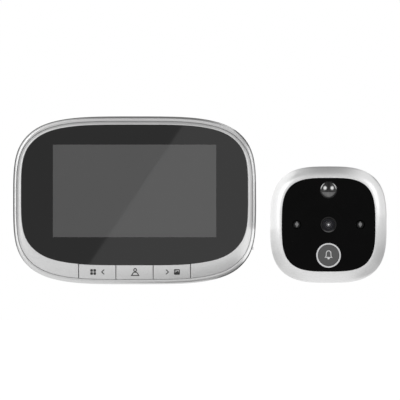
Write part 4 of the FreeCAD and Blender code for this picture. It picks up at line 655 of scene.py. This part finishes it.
# %% Battery cells
CELL_LONG_MM = 50.5
JACKET_MM = (0.9, 48.6)
BAND_MM = (35.5, 46.5)
BAND_LINE_MM = 0.6
JACKET_STOPS = ((0.0, "c4c4c4"), (JACKET_MM[0], "2b2d31"), (BAND_MM[0], "b9bbbe"),
                (BAND_MM[0] + BAND_LINE_MM, "2b2d31"),
                (BAND_MM[0] + 2 * BAND_LINE_MM, "8f9297"), (BAND_MM[1], "2b2d31"),
                (JACKET_MM[1], "c4c4c4"))
for number in range(1, 5):
    node = "battery_cell_%d" % number
    low, high = box_of(node)
    minus_x, along = (high.x, -1) if number <= 2 else (low.x, 1)
    jacket, tree, place = start_material("jacketed cell %d" % number)
    axes = add(tree, "ShaderNodeSeparateXYZ", {0: place})
    reach = add(tree, "ShaderNodeMath", {0: axes.outputs["X"], 1: minus_x}, operation="SUBTRACT")
    reach = add(tree, "ShaderNodeMath", {0: reach, 1: along / MM}, operation="MULTIPLY")
    zones = add(tree, "ShaderNodeMapRange", {"Value": reach, "From Max": CELL_LONG_MM})
    ramp = add(tree, "ShaderNodeValToRGB", {0: zones})
    ramp.color_ramp.interpolation = "CONSTANT"
    elements = ramp.color_ramp.elements
    for index, (at_mm, code) in enumerate(JACKET_STOPS):
        stop = elements[index] if index < 2 else elements.new(at_mm / CELL_LONG_MM)
        stop.position = at_mm / CELL_LONG_MM
        stop.color = colour(code)
    bare_low = add(tree, "ShaderNodeMath", {0: reach, 1: JACKET_MM[0]}, operation="LESS_THAN")
    bare_high = add(tree, "ShaderNodeMath", {0: reach, 1: JACKET_MM[1]}, operation="GREATER_THAN")
    bare = add(tree, "ShaderNodeMath", {0: bare_low, 1: bare_high}, operation="MAXIMUM")
    film = add(tree, "ShaderNodeTexNoise", {"Vector": place, "Scale": 1 / (4 * MM),
                                            "Detail": 3.0})
    shine = add(tree, "ShaderNodeMapRange", {"Value": film, "To Min": 0.2, "To Max": 0.35})
    shader = add(tree, "ShaderNodeBsdfPrincipled", {
        "Base Color": ramp, "Metallic": bare, "Roughness": shine})
    add(tree, "ShaderNodeOutputMaterial", {"Surface": shader})
    dress(jacket, node)

# %% [markdown]
# The movement sensor looks out through a dome of dark polished plastic. Its lower half is paler:
# a painted reflection of the pale floor below. The two bright spots are painted highlights where
# the two lamps would mirror, and two bright curves near its edge are painted highlights on the
# dome's polished bevel. All of it is under two pixels wide, so it is drawn on the dome by its
# distance from the middle.

# %% Places round an axis that runs from front to back
def polar(tree, place, middle):
    """The distances sideways, upwards and outwards from an axis, as nodes."""
    axes = add(tree, "ShaderNodeSeparateXYZ", {0: place})
    sideways, upwards = (
        add(tree, "ShaderNodeMath", {0: axes.outputs[axis], 1: start},
            operation="SUBTRACT")
        for axis, start in (("X", middle.x), ("Z", middle.z)))
    spot = add(tree, "ShaderNodeCombineXYZ", {0: sideways, 1: upwards})
    outwards = add(tree, "ShaderNodeVectorMath", {0: spot}, operation="LENGTH")
    return sideways, upwards, outwards


# %% Dome of the movement sensor: its dark tint and its painted floor reflection
DOME_RADIUS = 4.85 * MM
# Where the two painted lamp highlights sit, in shares of the radius
GLINT_ASIDE = 0.43
GLINT_UP = 0.21
GLINT_SQUASH = 0.9
dome_middle = middle_of("pir_lens")
dome, tree, place = start_material("dark polished dome")
sideways, upwards, outwards = polar(tree, place, dome_middle)
clouds = add(tree, "ShaderNodeTexNoise", {"Vector": place, "Scale": 1 / (1.5 * MM),
                                          "Detail": 2.0})
# Painted reflection of the floor, for the dome's lower half
floor_reflection_tone = add(tree, "ShaderNodeMix", {0: clouds, 6: colour("565656"),
                                   7: colour("7e7e7e")}, data_type="RGBA")
tint = add(tree, "ShaderNodeMix", {0: clouds, 6: colour("161616"),
                                   7: colour("222222")}, data_type="RGBA")


# %% Dome of the movement sensor: its parts by their place in shares of the radius
def between(tree, value, low, high, low_part=0.0, high_part=1.0):
    """A soft step between two parts of the dome's radius."""
    return add(tree, "ShaderNodeMapRange", {
        "Value": value, "From Min": low * DOME_RADIUS, "From Max": high * DOME_RADIUS,
        "To Min": low_part, "To Max": high_part})


away = add(tree, "ShaderNodeMath", {0: sideways}, operation="ABSOLUTE")
# Painted reflection: the lower half is paler, as if it mirrored the floor
pale = product(tree, between(tree, upwards, -0.3, -0.24, 1, 0),
               between(tree, outwards, 0.79, 0.86, 1, 0))
# Painted highlights: two bright curves near the edge, at the upper sides
painted_rim_highlights = product(tree, between(tree, outwards, 0.84, 0.9), between(tree, upwards, 0.02, 0.3),
               between(tree, away, 0.45, 0.7), between(tree, outwards, 0.95, 0.99, 1, 0))
from_glint = add(tree, "ShaderNodeCombineXYZ", {
    0: add(tree, "ShaderNodeMath", {0: away, 1: GLINT_ASIDE * DOME_RADIUS},
           operation="SUBTRACT"),
    1: add(tree, "ShaderNodeMath", {0: upwards, 1: GLINT_SQUASH,
                                    2: -GLINT_UP * DOME_RADIUS},
           operation="MULTIPLY_ADD")})
from_glint = add(tree, "ShaderNodeVectorMath", {0: from_glint}, operation="LENGTH")
# Painted highlights: two soft bright spots where the lamps would mirror
elements = between(tree, from_glint, 0.11, 0.26, 1, 0)
body = add(tree, "ShaderNodeMix", {0: pale, 6: tint, 7: floor_reflection_tone}, data_type="RGBA")
body = add(tree, "ShaderNodeMix", {0: elements, 6: body, 7: colour("e5e5e5")}, data_type="RGBA")
tone = add(tree, "ShaderNodeMix", {0: painted_rim_highlights, 6: body, 7: colour("dddddd")}, data_type="RGBA")
shader = add(tree, "ShaderNodeBsdfPrincipled", {
    "Base Color": tone, "Roughness": 0.06, "Specular IOR Level": 0.4})
add(tree, "ShaderNodeOutputMaterial", {"Surface": shader})
dress(dome, "pir_lens")

# %% [markdown]
# Behind the camera's front glass lie black baffles and coated lenses. They show as faint
# rings round a small bright centre: the rings are painted reflections on the lenses' rims,
# and the centre is a painted highlight. A stack of real lenses would need many light
# bounces for five pixels, so the rings are drawn by the distance from the axis.

# %% Camera glass
LENS_RADIUS = 2.6 * MM
lens_middle = middle_of("camera_lens")
lens, tree, place = start_material("coated front lens")
_, _, outwards = polar(tree, place, lens_middle)
inward = add(tree, "ShaderNodeMath", {0: outwards, 1: 1 / LENS_RADIUS}, operation="MULTIPLY")
rings = add(tree, "ShaderNodeValToRGB", {0: inward})
# A painted highlight at the centre, and painted reflections as the paler rings
painted_lens_glints = ((0.0, "f2f2f2"), (0.17, "d8d8d8"), (0.26, "1f1f21"), (0.36, "1c1c1e"),
              (0.46, "727276"), (0.56, "1c1c1e"), (0.74, "19191b"), (0.84, "66666a"),
              (0.9, "1e1e20"), (1.0, "161618"))
elements = rings.color_ramp.elements
for index, (at_part, code) in enumerate(painted_lens_glints):
    stop = elements[index] if index < 2 else elements.new(at_part)
    stop.position = at_part
    stop.color = colour(code)
shader = add(tree, "ShaderNodeBsdfPrincipled", {
    "Base Color": rings, "Roughness": 0.05, "Specular IOR Level": 0.12})
add(tree, "ShaderNodeOutputMaterial", {"Surface": shader})
dress(lens, "camera_lens")

# %% [markdown]
# The trim ring round the lens is black plastic. Its outer edge has a thin painted highlight that
# is brighter at its foot. It is drawn, not cut as a bevel, again by the distance from the lens's
# axis. The picture sensor and the fronts of the infrared lamps are plain dark mirrors.

# %% Trim ring, picture sensor and lamp fronts
TRIM_HIGHLIGHT_MM = (4.1, 4.3)
FOOT_HIGHLIGHT_MM = (-2.6, -3.8)
trim, tree, place = start_material("black trim ring")
_, upwards, outwards = polar(tree, place, lens_middle)
# Painted highlight: a thin paler line along the outer edge, paler still at the foot
edge = add(tree, "ShaderNodeMapRange", {"Value": outwards, "From Min": TRIM_HIGHLIGHT_MM[0] * MM,
                                        "From Max": TRIM_HIGHLIGHT_MM[1] * MM})
foot_highlight = add(tree, "ShaderNodeMapRange", {"Value": upwards, "From Min": FOOT_HIGHLIGHT_MM[0] * MM,
                                            "From Max": FOOT_HIGHLIGHT_MM[1] * MM})
grain = add(tree, "ShaderNodeTexNoise", {"Vector": place, "Scale": 1 / (0.5 * MM)})
black = add(tree, "ShaderNodeMix", {0: grain, 6: colour("0c0c0c"),
                                    7: colour("1e1e1e")}, data_type="RGBA")
with_edge_highlight = add(tree, "ShaderNodeMix", {0: edge, 6: black, 7: colour("393939")}, data_type="RGBA")
tone = add(tree, "ShaderNodeMix", {0: foot_highlight, 6: with_edge_highlight, 7: colour("585858")}, data_type="RGBA")
shader = add(tree, "ShaderNodeBsdfPrincipled", {
    "Base Color": tone, "Roughness": 0.3, "Specular IOR Level": 0.1})
add(tree, "ShaderNodeOutputMaterial", {"Surface": shader})
dress(trim, "camera_ring")

# A coated sensor is a dark blue-green mirror
silicon = grained("coated sensor glass", "0d1418", "1a2024", 0.1, (0.1, 0.2), 0.0)
dress(silicon, "picture_sensor")
# Infrared lamps are cast in resin that looks almost black. Its tone is set lighter, as painted
# light against the shade of the lamps' holes
dark_epoxy = grained("dark clear epoxy", "2e2e2e", "383838", 2.0, (0.12, 0.2), 0.0,
                     Specular_IOR_Level=0.06)
dress(dark_epoxy, "infrared_led_left", "infrared_led_right")

# %% [markdown]
# The memory card is black plastic with eight gold contacts along its inner edge. The card
# goes in with them first, so they show only when it is out. They are level with the plastic,
# so they are drawn as stripes in its material and not as pieces.

# %% Memory card
CARD_CONTACT_MM = 3.0
CARD_CONTACTS = 8
CONTACT_SHARE = 0.62
card_low, card_high = box_of("memory_card")
card_finish, tree, place = start_material("memory card")
axes = add(tree, "ShaderNodeSeparateXYZ", {0: place})
near_end = add(tree, "ShaderNodeMath", {0: axes.outputs["X"],
                                        1: card_low.x + CARD_CONTACT_MM * MM},
               operation="LESS_THAN")
across = add(tree, "ShaderNodeMath", {0: axes.outputs["Z"], 1: card_low.z}, operation="SUBTRACT")
across = add(tree, "ShaderNodeMath", {0: across, 1: CARD_CONTACTS / (card_high.z - card_low.z)},
             operation="MULTIPLY")
stripe = add(tree, "ShaderNodeMath", {0: across}, operation="FRACT")
stripe = add(tree, "ShaderNodeMath", {0: stripe, 1: CONTACT_SHARE}, operation="LESS_THAN")
gold = add(tree, "ShaderNodeMath", {0: near_end, 1: stripe}, operation="MULTIPLY")
grain = add(tree, "ShaderNodeTexNoise", {"Vector": place, "Scale": 1 / (0.3 * MM)})
plastic = add(tree, "ShaderNodeMix", {0: grain, 6: colour("131313"),
                                      7: colour("1f1f1f")}, data_type="RGBA")
tone = add(tree, "ShaderNodeMix", {0: gold, 6: plastic, 7: colour("d9b25a")}, data_type="RGBA")
shader = add(tree, "ShaderNodeBsdfPrincipled", {
    "Base Color": tone, "Metallic": gold, "Roughness": 0.4})
add(tree, "ShaderNodeOutputMaterial", {"Surface": shader})
dress(card_finish, "memory_card")

# %% [markdown]
# The signs on the keys and on the bell button are printed. They could be drawn in the keys'
# materials, but an outline in the mesh stays crisp from close by. Each starts as a flat
# outline in front of its key, is shaped there, laid on the key's surface, and thickened to a
# film of ink. They are plain signs: a menu grid, arrows, a visitor, a picture and a bell.

# %% Tools for shaping pieces
SHELL_FRONT = SHELL_LOW.y
DRAWN_BEFORE = 3 * MM


def start_outline(name, corners, wide_mm, high_mm, x_mm, z_mm):
    """A filled outline in edit mode that faces the camera: 4 corners make a rectangle."""
    bpy.ops.object.select_all(action="DESELECT")
    settings = {"location": (x_mm * MM, SHELL_FRONT - DRAWN_BEFORE, z_mm * MM),
                "rotation": (math.pi / 2, 0, 0), "enter_editmode": True}
    if corners == 4:
        bpy.ops.mesh.primitive_plane_add(size=MM, **settings)
    else:
        bpy.ops.mesh.primitive_circle_add(vertices=corners, radius=MM / 2, fill_type="NGON",
                                          **settings)
    bpy.ops.transform.resize(value=(wide_mm, 1, high_mm))
    piece = bpy.context.object
    piece.name = name
    return piece


def pick(piece, mode, test):
    """Selects the vertices, edges or faces whose middle, in mm from the piece, passes."""
    bpy.ops.mesh.select_mode(type=mode)
    bpy.ops.mesh.select_all(action="DESELECT")
    mesh = bmesh.from_edit_mesh(piece.data)
    turn = piece.matrix_world.to_3x3()
    for part in {"VERT": mesh.verts, "EDGE": mesh.edges, "FACE": mesh.faces}[mode]:
        corners = [part] if mode == "VERT" else part.verts
        middle = sum((turn @ corner.co for corner in corners), Vector()) / len(corners)
        if test(middle / MM):
            part.select_set(True)
    mesh.select_flush_mode()
    bmesh.update_edit_mesh(piece.data)


def apply_modifier(piece, kind, **settings):
    """Adds a modifier and applies it."""
    modifier = piece.modifiers.new(kind.lower(), kind)
    for name, value in settings.items():
        setattr(modifier, name, value)
    bpy.ops.object.modifier_apply(modifier=modifier.name)


def settle(piece, material, body, sharp_degrees=40):
    """Ends editing, puts the place in the mesh, and ties the piece to its body and slot."""
    if piece.mode == "EDIT":
        bpy.ops.object.mode_set(mode="OBJECT")
    bpy.ops.object.transform_apply(location=True, rotation=True, scale=True)
    bpy.ops.object.shade_smooth_by_angle(angle=math.radians(sharp_degrees))
    piece.data.materials.clear()
    piece.data.materials.append(material)
    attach(piece, body)
    print(piece.name, "has", len(piece.data.polygons), "faces and rides on", body)


# %% [markdown]
# Printed ink is a film a few hundredths of a millimetre thick that follows the surface below
# it. A flat outline would dip into a curved surface or float over it, so Shrinkwrap projects
# it on the piece first, and Solidify then gives it its thickness.

# %% Film of ink
INK_MM = 0.04
# Printed ink is matt and slightly uneven where it is thin
dark_ink = grained("dark grey ink", "1b1b1b", "292929", 0.2, (0.5, 0.65), 0.0)
white_ink = grained("white ink", "d3d3d3", "dfdfdf", 0.2, (0.5, 0.65), 0.0)


def hollow_out(line_mm):
    """Leaves only a line of that width along the outline in edit mode."""
    bpy.ops.mesh.select_all(action="SELECT")
    bpy.ops.mesh.inset(thickness=line_mm * MM, depth=0)
    bpy.ops.mesh.delete(type="FACE")


def print_on(piece, node, material, body):
    """Lays a flat outline on a node as a film of ink."""
    bpy.ops.object.mode_set(mode="OBJECT")
    bpy.ops.object.transform_apply(location=True, rotation=True, scale=True)
    apply_modifier(piece, "SHRINKWRAP", target=NODES[node], wrap_method="PROJECT",
                   use_project_y=True, use_positive_direction=True,
                   use_negative_direction=True, offset=INK_MM * MM)
    apply_modifier(piece, "SOLIDIFY", thickness=INK_MM * MM, offset=0)
    settle(piece, material, body)


# %% [markdown]
# The left key shows four squares for the menu and an arrow, and the right key another arrow.
# Arrows could be typed as text, but a font brings its own widths. Here an arrow is an upright
# bar whose middle points are pushed to the side.

# %% Menu grid and arrows
SIGN_Z = -57.7
MENU_X = -24.1
DOT_MM = 1.5
DOT_ASIDE = 0.9
for column in (-DOT_ASIDE, DOT_ASIDE):
    for row in (-DOT_ASIDE, DOT_ASIDE):
        dot = start_outline("menu_dot_%d%d" % (column > 0, row > 0), 4, DOT_MM, DOT_MM,
                            MENU_X + column, SIGN_Z + row)
        bpy.ops.mesh.bevel(affect="VERTICES", offset=0.4 * MM, segments=3)
        print_on(dot, "key_menu_left", dark_ink, "key_menu_left")

ARROW_LINE = 0.75
ARROW_HIGH = 2.7
for name, key, x, lean in (("left_arrow", "key_menu_left", -17.8, -1.3),
                           ("right_arrow", "key_right_album", 18.4, 1.3)):
    arrow = start_outline(name, 4, ARROW_LINE, ARROW_HIGH, x, SIGN_Z)
    bpy.ops.mesh.subdivide(number_cuts=1)
    pick(arrow, "VERT", lambda spot: abs(spot.z) < 0.1)
    bpy.ops.transform.translate(value=(lean * MM, 0, 0))
    print_on(arrow, key, dark_ink, key)

# %% [markdown]
# A visitor is a circle above rounded shoulders. A curve with a bevel would draw them as round
# wire, and a printed line is flat. So each outline is filled, inset by the line's width, and
# the face in its middle is deleted.

# %% Visitor: a head above shoulders, both drawn with a line
LINE_MM = 0.5
VISITOR_X = 0.35
head = start_outline("visitor_head", 24, 2.1, 2.2, VISITOR_X, SIGN_Z + 1.15)
hollow_out(LINE_MM)
print_on(head, "key_view", dark_ink, "key_view")
shoulders = start_outline("visitor_shoulders", 4, 5.2, 2.4, VISITOR_X, SIGN_Z - 1.1)
pick(shoulders, "VERT", lambda spot: spot.z > 0)
bpy.ops.transform.resize(value=(0.42, 1, 1))
bpy.ops.mesh.bevel(affect="VERTICES", offset=0.9 * MM, segments=5)
hollow_out(LINE_MM)
print_on(shoulders, "key_view", dark_ink, "key_view")

# %% [markdown]
# The album's sign is a small framed picture. Its two hills could be one jagged outline, but
# two simple ones that overlap look the same when both are the same ink.

# %% Picture: a frame with two hills and a sun
PICTURE_X = 24.65
edge_line = start_outline("picture_edge", 4, 3.4, 3.2, PICTURE_X, SIGN_Z)
bpy.ops.mesh.bevel(affect="VERTICES", offset=0.5 * MM, segments=3)
hollow_out(LINE_MM)
print_on(edge_line, "key_right_album", dark_ink, "key_right_album")
for name, wide, high, x in (("picture_hill_left", 1.9, 1.5, -0.5),
                            ("picture_hill_right", 1.9, 2.1, 0.5)):
    hill = start_outline(name, 4, wide, high, PICTURE_X + x, SIGN_Z - 1.35 + high / 2)
    pick(hill, "VERT", lambda spot: spot.z > 0)
    bpy.ops.transform.resize(value=(0.3, 1, 1))
    print_on(hill, "key_right_album", dark_ink, "key_right_album")
sun = start_outline("picture_sun", 12, 0.7, 0.7, PICTURE_X - 0.6, SIGN_Z + 0.65)
print_on(sun, "key_right_album", dark_ink, "key_right_album")

# %% [markdown]
# A bell flares at its foot and is round on top. Its outline could be a circle pulled about,
# but rows are easier to steer: a rectangle is subdivided, each row of its points gets its
# share of the width from foot to top, and only a line along the outline is kept.

# %% Bell with its clapper
BELL_WIDE = 3.4
BELL_HIGH = 4.3
BELL_UP = 0.75
BELL_LINE_MM = 0.48
BELL_SHARES = (1.42, 1.12, 0.99, 0.96, 0.95, 0.94, 0.87, 0.7, 0.3)
CLAPPER_DOWN = 1.75
bell_x = middle_of("bell_button").x / MM
bell_z = middle_of("bell_button").z / MM
bell = start_outline("bell_sign", 4, BELL_WIDE, BELL_HIGH, bell_x, bell_z + BELL_UP)
bpy.ops.mesh.subdivide(number_cuts=len(BELL_SHARES) - 2)
for row, share in enumerate(BELL_SHARES):
    height = BELL_HIGH * (row / (len(BELL_SHARES) - 1) - 0.5)
    pick(bell, "VERT", lambda spot: abs(spot.z - height) < 0.1)
    bpy.ops.transform.resize(value=(share, 1, 1))
bpy.ops.mesh.select_all(action="SELECT")
bpy.ops.mesh.dissolve_limited(angle_limit=0.01)
hollow_out(BELL_LINE_MM)
print_on(bell, "bell_button", white_ink, "bell_button")
clapper = start_outline("bell_clapper", 16, 1.4, 1.2, bell_x, bell_z - CLAPPER_DOWN)
print_on(clapper, "bell_button", white_ink, "bell_button")

# %% [markdown]
# Behind the clear front of each infrared lamp, its chip and the cup round it catch the light as a
# small four-pointed star. The lamp could be clear with a cup inside, but the solid behind is
# dark, so the star is a painted highlight, laid on its nose as a pale sheet. A single face would
# dip into the round nose, so it is poked and subdivided first.

# %% Stars in the infrared lamps
STAR_WIDE = 2.15
STAR_HIGH = 4.2
STAR_UP = 0.25
# The star's pale grey is a painted highlight of the lamp's cup
cup_highlight_grey = grained("painted lamp cup highlight", "6d6d6d", "7f7f7f", 0.6, (0.5, 0.6), 0.0)
for name in ("infrared_led_left", "infrared_led_right"):
    lamp_middle = middle_of(name)
    star = start_outline(name + "_cup_highlight", 8, STAR_WIDE, STAR_HIGH, lamp_middle.x / MM,
                         lamp_middle.z / MM)
    pick(star, "VERT", lambda spot: abs(spot.x) > 0.3 and abs(spot.z) > 0.3)
    bpy.ops.transform.resize(value=(0.66, 1, 0.62))
    bpy.ops.mesh.select_all(action="SELECT")
    bpy.ops.transform.translate(value=(0, 0, STAR_UP * MM))
    bpy.ops.mesh.poke()
    bpy.ops.mesh.subdivide(number_cuts=3)
    print_on(star, name, cup_highlight_grey, "door_side")

# %% [markdown]
# The stub of the outdoor unit carries a screw thread, which the barrel nut takes. CAD keeps
# it a plain tube. Here the tube is turned again at the thread's root, step by step like on a
# lathe: a circle is extruded and resized from one step of the profile to the next.

# %% Turned stub
ROOT_MM = 5.25
BORE_MM = 4.2
FLANGE_AT_MM = -4.2
TIP_AT_MM = 16.0
STUB_STEPS = ((FLANGE_AT_MM, 10.0), (-3.2, 10.0), (-3.2, 6.4), (-1.0, 6.4), (-0.6, ROOT_MM),
              (15.4, ROOT_MM), (TIP_AT_MM, 4.9), (TIP_AT_MM, BORE_MM),
              (FLANGE_AT_MM, BORE_MM))
stub_x, stub_z = FACE_MIDDLE.x, FACE_MIDDLE.z
bpy.ops.object.select_all(action="DESELECT")
bpy.ops.mesh.primitive_circle_add(vertices=96, radius=BORE_MM * MM, fill_type="NOTHING",
                                  location=(stub_x, FLANGE_AT_MM * MM, stub_z),
                                  rotation=(math.pi / 2, 0, 0), enter_editmode=True)
stub = bpy.context.object
stub.name = "stub_turned"
at_depth, at_radius = FLANGE_AT_MM, BORE_MM
for depth, radius in STUB_STEPS:
    bpy.ops.mesh.extrude_region_move(
        TRANSFORM_OT_translate={"value": (0, (depth - at_depth) * MM, 0)})
    bpy.ops.transform.resize(value=(radius / at_radius, 1, radius / at_radius))
    at_depth, at_radius = depth, radius
bpy.ops.mesh.select_all(action="SELECT")
bpy.ops.mesh.remove_doubles(threshold=0.001 * MM)
bpy.ops.mesh.normals_make_consistent(inside=False)
settle(stub, nickelled_brass, "door_side", 35)
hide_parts("threaded_stub")

# %% [markdown]
# The thread is one ridge that winds round the root. A curve with a bevel could follow the
# helix too, but a small profile and a Screw modifier keep the ridge square to the axis. The
# profile is narrower at the crest than at the root, and both its ends are closed.

# %% Thread of the stub
PITCH_MM = 1.5
TURNS = 10
CREST_MM = 5.9
SUNK_MM = 0.1
STEPS_IN_TURN = 48
bpy.ops.object.select_all(action="DESELECT")
bpy.ops.mesh.primitive_plane_add(size=MM, location=(stub_x, 0, stub_z), enter_editmode=True)
thread = bpy.context.object
thread.name = "stub_thread"
bpy.ops.transform.resize(value=(CREST_MM - ROOT_MM + SUNK_MM, 0.85 * PITCH_MM, 1))
pick(thread, "VERT", lambda spot: spot.x > 0)
bpy.ops.transform.resize(value=(1, 0.22, 1))
bpy.ops.mesh.select_all(action="SELECT")
bpy.ops.transform.translate(value=((CREST_MM + ROOT_MM - SUNK_MM) / 2 * MM, 0.1 * MM, 0))
bpy.ops.object.mode_set(mode="OBJECT")
apply_modifier(thread, "SCREW", axis="Y", angle=2 * math.pi, screw_offset=PITCH_MM * MM,
               iterations=TURNS, steps=STEPS_IN_TURN, render_steps=STEPS_IN_TURN,
               use_merge_vertices=False)
bpy.ops.object.mode_set(mode="EDIT")
bpy.ops.mesh.select_all(action="SELECT")
bpy.ops.mesh.remove_doubles(threshold=0.001 * MM)
bpy.ops.mesh.fill_holes(sides=4)
bpy.ops.mesh.normals_make_consistent(inside=False)
settle(thread, nickelled_brass, "door_side", 25)
measured = bmesh.new()
measured.from_mesh(thread.data)
open_edges = sum(not edge.is_manifold for edge in measured.edges)
radius = max(Vector((vertex.co.x - stub_x, vertex.co.z - stub_z)).length
             for vertex in measured.verts)
measured.free()
print("thread radius %.2f mm, open edges: %d" % (radius / MM, open_edges))

# %% [markdown]
# The picture is shown with plain colours.

bpy.context.scene.view_settings.view_transform = "Standard"
